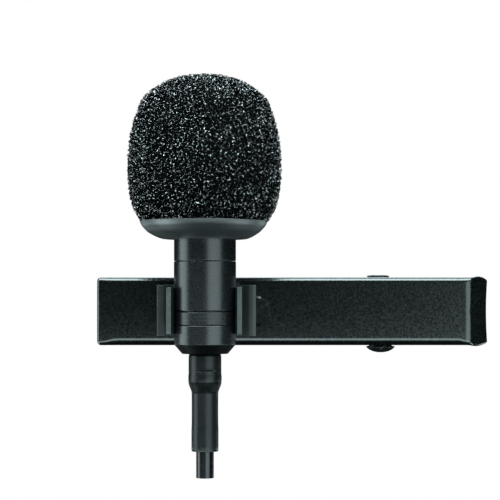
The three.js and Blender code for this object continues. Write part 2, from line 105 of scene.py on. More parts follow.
def quads_object(name, verts, quads, tris=(), material=None, uv=None):
    """A smooth mesh object straight from arrays, in mm, with an optional UV for each vertex."""
    mesh = bpy.data.meshes.new(name)
    quads = np.asarray(quads, np.int32).reshape(-1, 4)
    tris = np.asarray(tris, np.int32).reshape(-1, 3)
    n_quads, n_tris = len(quads), len(tris)
    mesh.vertices.add(len(verts))
    mesh.vertices.foreach_set("co", (np.asarray(verts, np.float32) * MM).ravel())
    mesh.loops.add(4 * n_quads + 3 * n_tris)
    loops = np.concatenate([quads.ravel(), tris.ravel()]).astype(np.int32)
    mesh.loops.foreach_set("vertex_index", loops)
    mesh.polygons.add(n_quads + n_tris)
    starts = np.concatenate([np.arange(n_quads) * 4, 4 * n_quads + np.arange(n_tris) * 3])
    mesh.polygons.foreach_set("loop_start", starts.astype(np.int32))
    mesh.update(calc_edges=True)
    mesh.shade_smooth()
    if uv is not None:
        layer = mesh.uv_layers.new(name="OFBake")
        layer.data.foreach_set("uv", uv[loops].astype(np.float32).ravel())
    return add_mesh_object(name, mesh, material)


def smooth_by_angle(ob, degrees=38):
    """Sharp edges past an angle, smooth elsewhere."""
    ob.data.shade_smooth()
    ob.data.set_sharp_from_angle(angle=math.radians(degrees))
    return ob


def weld(ob, distance=0.004):
    bm = bmesh.new()
    bm.from_mesh(ob.data)
    bmesh.ops.remove_doubles(bm, verts=bm.verts, dist=distance * MM)
    bmesh.ops.recalc_face_normals(bm, faces=bm.faces)
    bm.to_mesh(ob.data)
    bm.free()


def boolean(ob, tool, operation="DIFFERENCE"):
    """Applies a boolean between closed meshes and removes the tool."""
    mod = ob.modifiers.new("cut", "BOOLEAN")
    mod.operation, mod.object, mod.solver = operation, tool, "MANIFOLD"
    graph = bpy.context.evaluated_depsgraph_get()
    mesh = bpy.data.meshes.new_from_object(ob.evaluated_get(graph))
    ob.modifiers.clear()
    old_mesh, tool_mesh = ob.data, tool.data
    ob.data = mesh
    bpy.data.meshes.remove(old_mesh)
    bpy.data.objects.remove(tool)
    bpy.data.meshes.remove(tool_mesh)


def second_finish(ob, material, where):
    """Gives the faces picked by where(centre in row-frame mm, normal) another material."""
    ob.data.materials.append(material)
    for poly in ob.data.polygons:
        if where(poly.center / MM, poly.normal):
            poly.material_index = len(ob.data.materials) - 1


def unit(vectors):
    return vectors / np.maximum(np.linalg.norm(vectors, axis=-1, keepdims=True), 1e-9)


def ease(x, start, end):
    """0 before start and 1 after end, with a smooth step between."""
    t = np.clip((x - start) / (end - start), 0, 1)
    return t * t * (3 - 2 * t)


# ------------------------------------------------------------------ materials
def finish(name, dark, light, rough, patch, grain, bump, metallic=0.0, spec=0.5, speckle=0.0,
           speckle_size=0.07, rough_var=0.06, wear=0.0, wear_colour=(0.10, 0.11, 0.11),
           sheen=0.0, ior=1.5, glint=None):
    """A procedural surface, with sizes and bump height in mm.

    dark, light   the two colours, mixed slowly over patches of size patch
    rough         roughness, varied by rough_var with the grain, the fine surface texture
    speckle       strength of the fine light flecks
    wear          how far the edges turn to wear_colour
    glint         patches that alone are glossy: (size, noise where gloss starts, and is full)
    """
    mat = bpy.data.materials.new(name)
    mat.use_nodes = True
    nodes, links = mat.node_tree.nodes, mat.node_tree.links
    bsdf = nodes["Principled BSDF"]
    bsdf.inputs["IOR"].default_value = ior
    coord = nodes.new("ShaderNodeTexCoord")
    in_mm = nodes.new("ShaderNodeVectorMath")
    in_mm.operation = "MULTIPLY"
    in_mm.inputs[1].default_value = (1000, 1000, 1000)
    links.new(coord.outputs["Object"], in_mm.inputs[0])

    def noise(size, detail=3.0):
        node = nodes.new("ShaderNodeTexNoise")
        node.inputs["Scale"].default_value = 1.0 / size
        node.inputs["Detail"].default_value = detail
        node.inputs["Roughness"].default_value = 0.55
        links.new(in_mm.outputs[0], node.inputs["Vector"])
        return node.outputs["Fac"]

    def remap(value, from_min, from_max, to_min=0.0, to_max=1.0):
        node = nodes.new("ShaderNodeMapRange")
        node.inputs["From Min"].default_value = from_min
        node.inputs["From Max"].default_value = from_max
        node.inputs["To Min"].default_value = to_min
        node.inputs["To Max"].default_value = to_max
        links.new(value, node.inputs["Value"])
        return node.outputs["Result"]

    def mix(factor, first, second):
        node = nodes.new("ShaderNodeMix")
        node.data_type = "RGBA"
        links.new(factor, node.inputs[0])
        for socket, value in ((node.inputs[6], first), (node.inputs[7], second)):
            if isinstance(value, tuple):
                socket.default_value = (*value, 1)
            else:
                links.new(value, socket)
        return node.outputs[2]

    slow, fine = noise(patch), noise(grain, 2.0)
    colour = mix(remap(slow, 0.3, 0.7), dark, light)
    if speckle:
        fleck = remap(noise(speckle_size, 1.0), 0.58, 0.74, 0.0, speckle)
        colour = mix(fleck, colour, tuple(min(1.0, 3.2 * c + 0.02) for c in light))
    roughness = remap(fine, 0.3, 0.7, max(0.03, rough - rough_var), rough + rough_var)
    if wear:
        geometry = nodes.new("ShaderNodeNewGeometry")
        edge = remap(geometry.outputs["Pointiness"], 0.52, 0.62, 0.0, wear)
        worn = nodes.new("ShaderNodeMath")
        worn.operation = "MULTIPLY"
        links.new(edge, worn.inputs[0])
        links.new(remap(noise(0.5), 0.35, 0.65), worn.inputs[1])
        colour = mix(worn.outputs[0], colour, wear_colour)
    links.new(colour, bsdf.inputs["Base Color"])
    links.new(roughness, bsdf.inputs["Roughness"])
    bsdf.inputs["Metallic"].default_value = metallic
    bsdf.inputs["Specular IOR Level"].default_value = spec
    if glint:
        glint_size, glint_start, glint_full = glint
        gloss = remap(noise(glint_size, 1.5), glint_start, glint_full, 0.0, spec)
        links.new(gloss, bsdf.inputs["Specular IOR Level"])
    bsdf.inputs["Coat Roughness"].default_value = 0.15
    bsdf.inputs["Sheen Weight"].default_value = sheen
    bump_node = nodes.new("ShaderNodeBump")
    bump_node.inputs["Strength"].default_value = 1.0
    bump_node.inputs["Distance"].default_value = bump * MM
    links.new(fine, bump_node.inputs["Height"])
    links.new(bump_node.outputs["Normal"], bsdf.inputs["Normal"])
    return mat


# textures shared by related finishes
PAINT_TEXTURE = dict(patch=0.36, grain=0.30, bump=0.0060)
SHELL_TEXTURE = dict(patch=1.9, grain=0.11, bump=0.0065, speckle=0.25)
SHELL_WEAR = dict(wear=0.3, wear_colour=(0.06, 0.065, 0.07))
BOOT_TEXTURE = dict(patch=0.5, grain=0.14, bump=0.010, speckle=0.30, speckle_size=0.12)

FOAM_STRUT = finish(
    "foam_strut", dark=(0.0004, 0.0006, 0.0006), light=(0.0013, 0.0017, 0.0017), rough=0.20,
    patch=2.2, grain=0.20, bump=0.004, spec=1.0, rough_var=0.05, ior=2.6,
    glint=(0.24, 0.54, 0.68))
# darker than the struts: painted shade of the foam's depths, seen between them
FOAM_CORE_SHADE = finish(
    "foam_core", dark=(0.0002, 0.0003, 0.0003), light=(0.0007, 0.0008, 0.0009), rough=0.9,
    patch=0.5, grain=0.22, bump=0.06, spec=0.1)
COLLAR = finish(
    "collar_rubber", dark=(0.0040, 0.0052, 0.0054), light=(0.0064, 0.0080, 0.0084), rough=0.44,
    patch=2.4, grain=0.09, bump=0.0022, spec=0.78, speckle=0.12, speckle_size=0.06)
SHELL = finish(
    "mic_shell", dark=(0.0014, 0.0017, 0.0023), light=(0.0025, 0.0031, 0.0040), rough=0.28,
    spec=0.6, **SHELL_TEXTURE, **SHELL_WEAR)
PAINT = finish(
    "clip_paint", dark=(0.0002, 0.0004, 0.0004), light=(0.0030, 0.0042, 0.0038), rough=0.205,
    spec=0.68, wear=0.2, wear_colour=(0.07, 0.08, 0.075), rough_var=0.04, **PAINT_TEXTURE)
# a copy of the paint with no gloss: painted shade for the right side of the boss's rim
PAINT_RIM_SHADE = finish(
    "clip_paint_rim_shade", dark=(0.0055, 0.0075, 0.0070), light=(0.0095, 0.0120, 0.0112), rough=0.5,
    spec=0.0, **PAINT_TEXTURE)
# a rougher, less glossy copy of the paint: painted shade that dims the highlight on the top of the
# boss's rim
PAINT_RIM_DIMMED = finish(
    "clip_paint_rim_dimmed", dark=(0.0010, 0.0014, 0.0013), light=(0.0040, 0.0054, 0.0050), rough=0.32,
    spec=0.24, **PAINT_TEXTURE)
CRADLE = finish(
    "cradle_paint", dark=(0.0046, 0.0058, 0.0054), light=(0.0080, 0.0100, 0.0093), rough=0.40,
    patch=1.2, grain=0.12, bump=0.0060, spec=0.56, speckle=0.15, speckle_size=0.09,
    wear=0.3, wear_colour=(0.12, 0.13, 0.125))
RING = finish(
    "ribbed_ring_shell", dark=(0.0013, 0.0016, 0.0021), light=(0.0023, 0.0028, 0.0036),
    rough=0.29, spec=0.44, **SHELL_TEXTURE, **SHELL_WEAR)
# a darker, less glossy copy of the shell finish: painted shade for the downward-facing chamfers
# and the seam above the ribbed ring
SHELL_PAINTED_SHADE = finish(
    "mic_shell_painted_shade", dark=(0.0006, 0.0007, 0.0009), light=(0.0012, 0.0014, 0.0017),
    rough=0.34, spec=0.16, **SHELL_TEXTURE)
CRADLE_CUT = finish(
    "cradle_cut_edge", dark=(0.022, 0.026, 0.025), light=(0.036, 0.042, 0.040), rough=0.48,
    patch=0.5, grain=0.14, bump=0.0060, spec=0.4)
PIN_BLACK = finish(
    "pin_black", dark=(0.004, 0.004, 0.0045), light=(0.008, 0.008, 0.0085), rough=0.22,
    patch=0.8, grain=0.10, bump=0.0015, rough_var=0.04, wear=0.5, wear_colour=(0.25, 0.25, 0.25))
SPRING = finish(
    "spring_steel", dark=(0.42, 0.42, 0.43), light=(0.56, 0.56, 0.56), rough=0.28,
    metallic=1.0, patch=0.6, grain=0.07, bump=0.002)
ZINC = finish(
    "plated_steel", dark=(0.38, 0.38, 0.39), light=(0.52, 0.52, 0.53), rough=0.33,
    metallic=1.0, patch=0.9, grain=0.08, bump=0.002)
BOOT = finish(
    "boot_rubber", dark=(0.0006, 0.0009, 0.0010), light=(0.0024, 0.0031, 0.0034), rough=0.34,
    spec=0.26, **BOOT_TEXTURE)
# a darker, nearly unglossy copy of the boot rubber: painted shade on the downward-facing neck
BOOT_NECK_SHADE = finish(
    "boot_neck_painted_shade", dark=(0.0005, 0.0008, 0.0009), light=(0.0020, 0.0026, 0.0029),
    rough=0.42, spec=0.05, **BOOT_TEXTURE)
JACKET = finish(
    "cable_jacket", dark=(0.0008, 0.0010, 0.0012), light=(0.0016, 0.0018, 0.0022), rough=0.22,
    patch=1.8, grain=0.22, bump=0.0015, rough_var=0.03)
COPPER = finish(
    "shield_copper", dark=(0.62, 0.28, 0.13), light=(0.78, 0.42, 0.22), rough=0.35,
    metallic=1.0, patch=0.4, grain=0.06, bump=0.006)
RED = finish(
    "conductor_red", dark=(0.40, 0.02, 0.015), light=(0.50, 0.035, 0.025), rough=0.42,
    patch=0.6, grain=0.05, bump=0.001)
WHITE = finish(
    "conductor_white", dark=(0.70, 0.68, 0.64), light=(0.80, 0.79, 0.76), rough=0.45,
    patch=0.6, grain=0.05, bump=0.001)
ALUMINIUM = finish(
    "capsule_aluminium", dark=(0.60, 0.61, 0.62), light=(0.74, 0.75, 0.76), rough=0.32,
    metallic=1.0, patch=0.9, grain=0.05, bump=0.001)
BOARD = finish(
    "circuit_board", dark=(0.014, 0.085, 0.032), light=(0.03, 0.14, 0.05), rough=0.4,
    patch=0.6, grain=0.12, bump=0.004)
CHIP = finish(
    "chip_plastic", dark=(0.008, 0.008, 0.009), light=(0.016, 0.016, 0.017), rough=0.5,
    patch=0.4, grain=0.05, bump=0.002)
FELT = finish(
    "felt", dark=(0.006, 0.006, 0.006), light=(0.022, 0.022, 0.022), rough=0.95,
    patch=0.3, grain=0.05, bump=0.03, sheen=0.4)
FILM = finish(
    "metallised_film", dark=(0.62, 0.45, 0.16), light=(0.74, 0.56, 0.24), rough=0.25,
    metallic=1.0, patch=1.2, grain=0.3, bump=0.002)
PLASTIC = finish(
    "white_plastic", dark=(0.66, 0.65, 0.62), light=(0.76, 0.75, 0.72), rough=0.5,
    patch=0.7, grain=0.07, bump=0.002)
BRASS = finish(
    "crimp_brass", dark=(0.55, 0.40, 0.14), light=(0.68, 0.52, 0.22), rough=0.33,
    metallic=1.0, patch=0.5, grain=0.06, bump=0.003)
GRILLE = finish(
    "grille_black", dark=(0.016, 0.017, 0.018), light=(0.028, 0.029, 0.030), rough=0.34,
    metallic=0.4, patch=0.8, grain=0.06, bump=0.002, wear=0.4)
DARK_RUBBER = finish(
    "capsule_rubber", dark=(0.010, 0.010, 0.010), light=(0.018, 0.018, 0.018), rough=0.8,
    patch=0.7, grain=0.07, bump=0.004)


# ------------------------------------------------------------------ outlines and turning
def corner_at(points, i, radius, reach):
    """Unit directions from point i to its neighbours, their distances, the turn there, and the
    length a round takes off each side, at most a share reach of it."""
    before = points[i - 1] - points[i]
    after = points[(i + 1) % len(points)] - points[i]
    before_length, after_length = before.length, after.length
    before, after = before / before_length, after / after_length
    turn = math.pi - before.angle(after)
    cut = min(radius * math.tan(turn / 2), reach * before_length, reach * after_length)
    return before, after, before_length, after_length, turn, cut


def corner_curve(start, corner, end, steps):
    """Points of the quadratic curve from start to end that is pulled to the corner."""
    return [start * (1 - w) ** 2 + corner * 2 * w * (1 - w) + end * w * w
            for w in (k / steps for k in range(steps + 1))]


def rounded(profile, radius=0.05, steps=4, support=0.4):
    """A closed profile with rounded corners, and a point just outside each round so that
    flats shade flat."""
    points = [Vector(p) for p in profile]
    out = []
    for i, p in enumerate(points):
        before, after, before_length, after_length, turn, cut = corner_at(points, i, radius, 0.34)
        if p.x < 1e-6 or turn < math.radians(14):
            out.append(p)
            continue
        start, end = p + before * cut, p + after * cut
        margin = min(support * radius, 0.12 * before_length, 0.12 * after_length)
        out.append(start + before * margin)
        out += corner_curve(start, p, end, steps)
        out.append(end + after * margin)
    return [(max(0.0, p.x), p.y) for p in out]


def corner_rounds(outline, radius, steps=4):
    """A closed outline in X and Y with rounded corners."""
    points = [Vector(p) for p in outline]
    out = []
    for i, p in enumerate(points):
        before, after, _, _, turn, cut = corner_at(points, i, radius, 0.4)
        if turn < math.radians(16):
            out.append(p)
        else:
            out += corner_curve(p + before * cut, p, p + after * cut, steps)
    return [(p.x, p.y) for p in out]


def spline(points, per=6):
    """Catmull-Rom points through a run of profile points, per of them to a span."""
    p = [np.array(q, float) for q in points]
    p = [2 * p[0] - p[1]] + p + [2 * p[-1] - p[-2]]
    out = []
    for i in range(1, len(p) - 2):
        for k in range(per):
            t = k / per
            linear = (p[i + 1] - p[i - 1]) * t
            square = (2 * p[i - 1] - 5 * p[i] + 4 * p[i + 1] - p[i + 2]) * t ** 2
            cubic = (3 * p[i] - p[i - 1] - 3 * p[i + 1] + p[i + 2]) * t ** 3
            out.append(0.5 * (2 * p[i] + linear + square + cubic))
    out.append(p[-2])
    return [(float(max(0, q[0])), float(q[1])) for q in out]


def lathe(name, profile, material, segments=128, at=MIC_AT, axis="Z", shape=None):
    """Turns a closed profile of (radius, height) about an axis through at.
    shape(points) may move the points first."""
    angles = np.arange(segments) * 2 * math.pi / segments
    verts, rows = [], []
    for radius, height in profile:
        if radius < 1e-6:
            rows.append([len(verts)] * segments)
            verts.append((0.0, 0.0, height))
        else:
            rows.append(list(range(len(verts), len(verts) + segments)))
            verts += [(radius * math.cos(a), radius * math.sin(a), height) for a in angles]
    verts = np.array(verts)
    quads, tris = [], []
    area = 0
    for i, (radius, height) in enumerate(profile):
        j = (i + 1) % len(profile)
        next_radius, next_height = profile[j]
        area += radius * next_height - next_radius * height
        this, after = rows[i], rows[j]
        this_on_axis, next_on_axis = radius < 1e-6, next_radius < 1e-6
        if this_on_axis and next_on_axis:
            continue
        for k in range(segments):
            m = (k + 1) % segments
            if this_on_axis:
                tris.append((this[0], after[m], after[k]))
            elif next_on_axis:
                tris.append((this[k], this[m], after[0]))
            else:
                quads.append((this[k], this[m], after[m], after[k]))
    if area < 0:
        quads = [q[::-1] for q in quads]
        tris = [t[::-1] for t in tris]
    if shape is not None:
        verts = shape(verts)
    # both turns keep the handedness
    if axis == "Y":
        verts = np.stack([verts[:, 0], verts[:, 2], -verts[:, 1]], 1)
    elif axis == "-Y":
        verts = np.stack([verts[:, 0], -verts[:, 2], verts[:, 1]], 1)
    return quads_object(name, verts + np.array(at), quads, tris, material)


def drill(ob, at, axis, radius, length):
    """Cuts a round hole centred on at."""
    half = length / 2
    boolean(ob, lathe("hole", [(0, -half), (radius, -half), (radius, half), (0, half)], None,
                      segments=64, at=at, axis=axis))


# ------------------------------------------------------------------ microphone body
# profiles are (radius, height)
HEAD_PROFILE = [
    (3.05, 4.2), (3.05, 6.02), (3.71, 6.02), (3.71, 14.05), (3.5, 14.3), (2.6, 14.3),
    (2.6, 14.05), (3.35, 14.05), (3.35, 6.6), (2.7, 6.2), (2.7, 4.2)]
BARREL_PROFILE = [
    (3.1, -0.02), (3.58, -0.02), (3.58, 0.07), (BARREL_RADIUS, 0.11), (BARREL_RADIUS, 5.90),
    (3.65, 5.98), (3.1, 5.98)]
CAP_PROFILE = [
    (1.5, -5.1), (2.75, -5.1), (BARREL_RADIUS, -3.96), (BARREL_RADIUS, -1.76), (3.66, -1.70),
    (2.95, -1.70), (2.95, 1.6), (2.2, 1.6), (2.2, -3.2), (1.5, -3.2)]

RIBS = 9
RIBS_BOTTOM, RIBS_HEIGHT = -1.59, 1.44


def rib_profile():
    profile = [(3.02, -1.66), (3.60, -1.66)]
    pitch = RIBS_HEIGHT / RIBS
    for k in range(RIBS):
        z = RIBS_BOTTOM + k * pitch
        profile += [(3.691, z + 0.02), (3.700, z + 0.05),
                    (3.700, z + pitch - 0.07), (3.691, z + pitch - 0.03)]
    return profile + [(3.60, -0.08), (3.02, -0.08)]


head_shell = lathe("head_shell_turned", rounded(HEAD_PROFILE, radius=0.06), SHELL)
main_barrel = lathe("main_barrel_turned", rounded(BARREL_PROFILE, radius=0.06, steps=5), SHELL)
# the barrel's bottom end, at the seam above the ribbed ring, takes the darker copy: painted shade
# in the groove
second_finish(main_barrel, SHELL_PAINTED_SHADE, lambda p, n: p.z < 0.11)
ribbed_ring = lathe("ribbed_ring_turned",
                    rounded(rib_profile(), radius=0.02, steps=1, support=0.2), RING)
rear_cap = lathe("rear_cap_turned", rounded(CAP_PROFILE, radius=0.07, steps=5), SHELL)
# the cap's downward-facing chamfer takes the darker copy: painted shade under the microphone
second_finish(rear_cap, SHELL_PAINTED_SHADE, lambda p, n: n.z < -0.45 and p.z < -3.8)


# ------------------------------------------------------------------ strain relief and cable
def boot_shape(verts):
    """A short creased slot with a raised lip above it, across the front of the sleeve."""
    x, y, z = verts.T
    r = np.hypot(x, y)
    front = np.clip((-y / np.maximum(r, 1e-6) - 0.35) / 0.5, 0, 1)
    across = np.clip((1.35 - np.abs(x)) / 0.35, 0, 1)
    slot = np.exp(-((z + 7.1) / 0.07) ** 2) * front * across
    lip = np.exp(-((z + 6.93) / 0.10) ** 2) * front * across
    outer = (r > 1.7) & (z < -5.3) & (z > -8.6)
    scale = 1 + np.where(outer, -0.16 * slot + 0.03 * lip, 0.0) / np.maximum(r, 1e-6)
    return np.stack([x * scale, y * scale, z], 1)


BOOT_BORE = 1.12
BOOT_FLANGE = [     # inside the rear cap
    (BOOT_BORE, -2.7), (2.0, -2.7), (2.0, -3.15), (1.44, -3.15), (1.44, -5.14), (1.88, -5.16)]
BOOT_SLEEVE_TOP = [(1.955, -5.36), (1.96, -6.0)]
BOOT_NECK_RUN = [
    (1.99, -7.7), (2.0, -8.2), (1.95, -8.72), (1.83, -9.1), (1.68, -9.45), (1.61, -9.72),
    (1.588, -10.2), (1.585, -11.5), (1.59, -13.2), (1.605, -13.9), (1.62, -14.3), (1.62, -16.6)]
BOOT_END = [(1.62, -16.72), (1.56, -16.8), (BOOT_BORE, -16.8)]

boot_profile = (
    rounded(BOOT_FLANGE, radius=0.05)
    + spline(BOOT_SLEEVE_TOP, per=4)[:-1]
    + [(1.963, -6.0 - 0.035 * i) for i in range(1, 46)]     # close rings that carry the slot
    + spline(BOOT_NECK_RUN)
    + rounded(BOOT_END, radius=0.03, steps=3))
strain_boot = lathe("strain_relief_boot_moulded", boot_profile, BOOT, shape=boot_shape)
# the neck's downward-facing faces take the darker copy: painted shade
second_finish(strain_boot, BOOT_NECK_SHADE, lambda p, n: n.z < -0.08 and -9.95 < p.z < -8.3)

CABLE_PROFILE = [(0.76, -CABLE_DROP), (1.06, -CABLE_DROP), (1.06, 0.6), (0.76, 0.6)]
cable = lathe("cable_jacket_run", rounded(CABLE_PROFILE, radius=0.03, steps=3), JACKET,
              segments=96)


# ------------------------------------------------------------------ windscreen collar
def collar_shape(verts):
    """The cup's rim is moulded a little to one side of its bore, and a touch wide."""
    x, y, z = verts.T
    r = np.hypot(x, y)
    rim = np.clip((r - 4.9) / 1.6, 0, 1)
    scale = 1 + 0.06 * rim / np.maximum(r, 1e-6)
    return np.stack([x * scale - 0.15 * rim, y * scale, z], 1)


COLLAR_BORE_EDGE = [(3.8, 8.72), (3.83, 8.66), (3.88, 8.64)]
COLLAR_CUP = [
    (4.75, 8.64), (5.12, 8.69), (5.55, 8.84), (5.98, 9.06), (6.38, 9.30), (6.74, 9.56),
    (7.16, 10.0), (7.36, 10.25), (7.49, 10.5), (7.60, 10.78)]
COLLAR_INSIDE = [
    (7.60, 10.82), (7.57, 10.84), (7.50, 10.845), (7.0, 10.80), (6.2, 9.9), (4.7, 9.5),
    (4.7, 10.75), (4.65, 10.8), (3.85, 10.8), (3.8, 10.75)]
collar = lathe("windscreen_collar_moulded", COLLAR_BORE_EDGE + spline(COLLAR_CUP) + COLLAR_INSIDE,
               COLLAR, segments=160, shape=collar_shape)


# ------------------------------------------------------------------ windscreen foam
# the outer surface as (radius, height), from the collar's seam to the crown
FOAM_PROFILE = [
    (7.72, 10.82), (7.88, 11.1), (8.08, 11.5), (8.33, 11.9), (8.57, 12.4), (8.88, 13.4),
    (9.02, 14.3), (9.16, 15.3), (9.21, 16.5), (9.20, 18.2), (9.16, 19.1), (9.06, 20.1),
    (8.95, 21.1), (8.70, 22.0), (8.48, 23.0), (8.11, 23.9), (7.78, 24.9), (7.48, 25.4),
    (7.10, 25.9), (6.60, 26.3), (5.94, 26.8), (5.28, 27.25), (4.50, 27.6), (3.60, 27.9),
    (2.60, 28.15), (1.40, 28.32), (0.0, 28.4)]
CELL = 0.70             # lattice spacing
TILE_CELLS = 8          # lattice cells along a periodic tile
NEAREST = 24            # neighbouring seeds that can share a Voronoi vertex
DEPTH_KEPT = 0.80       # struts deeper than this are left to the core
STRUT_RADIUS = 0.054
SECTORS = 4             # the foam is split into this many objects round the axis
CORE_DEPTH = 0.84       # of the core's surface below the foam's
# the network's slow wander, for X, Y and Z: frequency and phase of the main wave, then the
# lesser wave's frequencies along the axis after next and along its own, and its phase
WANDER = [(0.83, 1.3, 1.27, 0.41, 0.0), (0.91, 0.4, 1.19, 0.37, 2.0), (0.77, 2.1, 1.31, 0.43, 4.0)]
# the corners of each face of a node; face i is opposite corner i
FACE_CORNERS = np.array([[1, 2, 3], [0, 2, 3], [0, 1, 3], [0, 1, 2]])


def foam_depth(points):
    """Depth below the windscreen's outer surface, in mm, negative outside; the points are
    from the microphone's axis and datum."""
    r = np.hypot(points[:, 0], points[:, 1])
    z = points[:, 2]
    best = np.full(len(points), 1e9)
    sign = np.ones(len(points))
    for (r0, z0), (r1, z1) in zip(FOAM_PROFILE[:-1], FOAM_PROFILE[1:]):
        dr, dz = r1 - r0, z1 - z0
        t = np.clip(((r - r0) * dr + (z - z0) * dz) / (dr * dr + dz * dz), 0, 1)
        off_r, off_z = r - (r0 + t * dr), z - (z0 + t * dz)
        distance = np.hypot(off_r, off_z)
        side = np.where(dr * off_z - dz * off_r > 0, 1.0, -1.0)     # inside is on the left
        closer = distance < best - 1e-9
        best = np.where(closer, distance, best)
        sign = np.where(closer, side, sign)
    return best * sign


def voronoi_vertices(seeds, size):
    """Vertices of the periodic Voronoi cells, and the four seeds round each."""
    offset = seeds[None] - seeds[:, None]
    offset -= size * np.round(offset / size)
    nearest = np.argsort((offset ** 2).sum(2), axis=1)[:, 1:NEAREST + 1]
    triples = np.array(list(combinations(range(NEAREST), 3)))
    keys, points = [], []
    for i in range(len(seeds)):
        around = offset[i, nearest[i]]
        square = (around ** 2).sum(1)
        rows = around[triples]
        det = np.einsum("ij,ij->i", rows[:, 0], np.cross(rows[:, 1], rows[:, 2]))
        solid = np.abs(det) > 1e-9
        rows, chosen, det = rows[solid], triples[solid], det[solid]
        half = 0.5 * square[chosen]
        vertex = (half[:, :1] * np.cross(rows[:, 1], rows[:, 2])
                  + half[:, 1:2] * np.cross(rows[:, 2], rows[:, 0])
                  + half[:, 2:] * np.cross(rows[:, 0], rows[:, 1])) / det[:, None]
        small = (vertex ** 2).sum(1) < (1.2 * CELL) ** 2
        vertex, chosen = vertex[small], chosen[small]
        empty = (square[None] - 2 * vertex @ around.T >= -1e-9).all(1)
        for point, triple in zip(vertex[empty], chosen[empty]):
            ids = nearest[i][triple]
            if (ids > i).all():
                keys.append(tuple(sorted((i, *ids.tolist()))))
                points.append(seeds[i] + point)
    keys, first = np.unique(np.array(keys), axis=0, return_index=True)
    return keys, np.array(points)[first]


def foam_tile(rng):
    """A periodic open-cell foam tile, the Voronoi edges of a shaken body-centred lattice:
    nodes, struts, the tile step to each strut's far end, and the tile's size."""
    size = TILE_CELLS * CELL
    base = np.array(list(product(range(TILE_CELLS), repeat=3)), float)
    seeds = np.concatenate([base, base + 0.5]) * CELL
    seeds = (seeds + rng.normal(0, 0.15 * CELL, seeds.shape)) % size
    keys, points = voronoi_vertices(seeds, size)

    # two vertices with three seeds in common end the same strut
    count = len(seeds)
    codes = []
    for drop in range(4):
        shared = keys[:, [k for k in range(4) if k != drop]].astype(np.int64)
        codes.append((shared[:, 0] * count + shared[:, 1]) * count + shared[:, 2])
    code = np.concatenate(codes)
    owner = np.tile(np.arange(len(keys)), 4)
    order = np.argsort(code, kind="stable")
    code, owner = code[order], owner[order]
    # a code seen any other number of times would be a degenerate face, and is left out
    values, times = np.unique(code, return_counts=True)
    keep = (code[1:] == code[:-1]) & np.isin(code[1:], values[times == 2])
    edges = np.stack([owner[:-1][keep], owner[1:][keep]], 1)

    # relax: pull each node towards its neighbours, then push short struts apart
    for step in range(14):
        along = points[edges[:, 1]] - points[edges[:, 0]]
        along -= size * np.round(along / size)
        move = np.zeros_like(points)
        if step < 4:
            np.add.at(move, edges[:, 0], along)
            np.add.at(move, edges[:, 1], -along)
            points = points + 0.12 * move
        else:
            length = np.linalg.norm(along, axis=1, keepdims=True)
            lack = np.maximum(0.24 * CELL - length, 0)
            short = lack / 2 * along / np.maximum(length, 1e-6)
            np.add.at(move, edges[:, 0], -short)
            np.add.at(move, edges[:, 1], short)
            points = points + 0.8 * move
    along = points[edges[:, 1]] - points[edges[:, 0]]
    return points, edges, -np.round(along / size).astype(int), size


def foam_network(rng):
    """The windscreen's network: node points, all edges, the struts kept, the struts cut at
    the surface (inner end first), and the nodes' depths."""
    tile_points, tile_edges, shift, size = foam_tile(rng)
    per_tile = len(tile_points)
    low, high = np.array([-9.6, -9.6, 10.6]), np.array([9.6, 9.6, 28.8])
    middle = (low + high) / 2
    # the lattice is turned so that none of its planes lines up with the windscreen
    turn = np.array(Matrix.Rotation(0.6, 3, "X") @ Matrix.Rotation(0.9, 3, "Y")
                    @ Matrix.Rotation(0.4, 3, "Z"))
    half_diagonal = np.linalg.norm(high - low) / 2
    count = int(math.ceil(2 * half_diagonal / size)) + 1
    tiles = np.array(list(product(range(count), repeat=3)))
    origin = -count * size / 2
    # only tiles that can reach the shell
    tile_depth = foam_depth(((tiles + 0.5) * size + origin) @ turn.T + middle)
    reach = size * 0.87
    use = (tile_depth > -reach) & (tile_depth < DEPTH_KEPT + reach)
    number = np.full(len(tiles), -1)
    number[use] = np.arange(use.sum())
    number = number.reshape(count, count, count)
    tiles = tiles[use]
    points = (tile_points[None] + (tiles * size)[:, None] + origin).reshape(-1, 3)
    points = points @ turn.T + middle
    # a slow wander that hides the tile's repeats
    points = points + np.stack([
        0.30 * np.sin(points[:, (i + 1) % 3] * main + main_phase)
        + 0.22 * np.sin(points[:, (i + 2) % 3] * lesser + points[:, i] * own + phase)
        for i, (main, main_phase, lesser, own, phase) in enumerate(WANDER)], 1)

    edges = []
    for t, tile in enumerate(tiles):
        target = tile + shift
        inside = ((target >= 0) & (target < count)).all(1)
        far_tile = np.full(len(tile_edges), -1)
        far_tile[inside] = number[tuple(target[inside].T)]
        ok = far_tile >= 0
        edges.append(np.stack([tile_edges[ok, 0] + t * per_tile,
                               tile_edges[ok, 1] + far_tile[ok] * per_tile], 1))
    edges = np.concatenate(edges)

    # the surface is ground, not cut clean, so its depth wanders a little
    x, y, z = points[:, 0], points[:, 1], points[:, 2]
    depth = foam_depth(points)
    depth = (depth + 0.03 - 0.05 * x / 9.2
             + 0.09 * np.sin(x * 5.1 + 1) * np.sin(y * 4.7) * np.sin(z * 5.3))
    inside = (depth > 0) & (z > 10.86)
    near = inside & (depth < DEPTH_KEPT)
    start, end = edges[:, 0], edges[:, 1]
    struts = edges[(near[start] & inside[end]) | (near[end] & inside[start])]
    stubs = edges[(near[start] & ~inside[end]) | (near[end] & ~inside[start])]
    swap = ~near[stubs[:, 0]]
    stubs[swap] = stubs[swap][:, ::-1]
    return points, edges, struts, stubs, depth


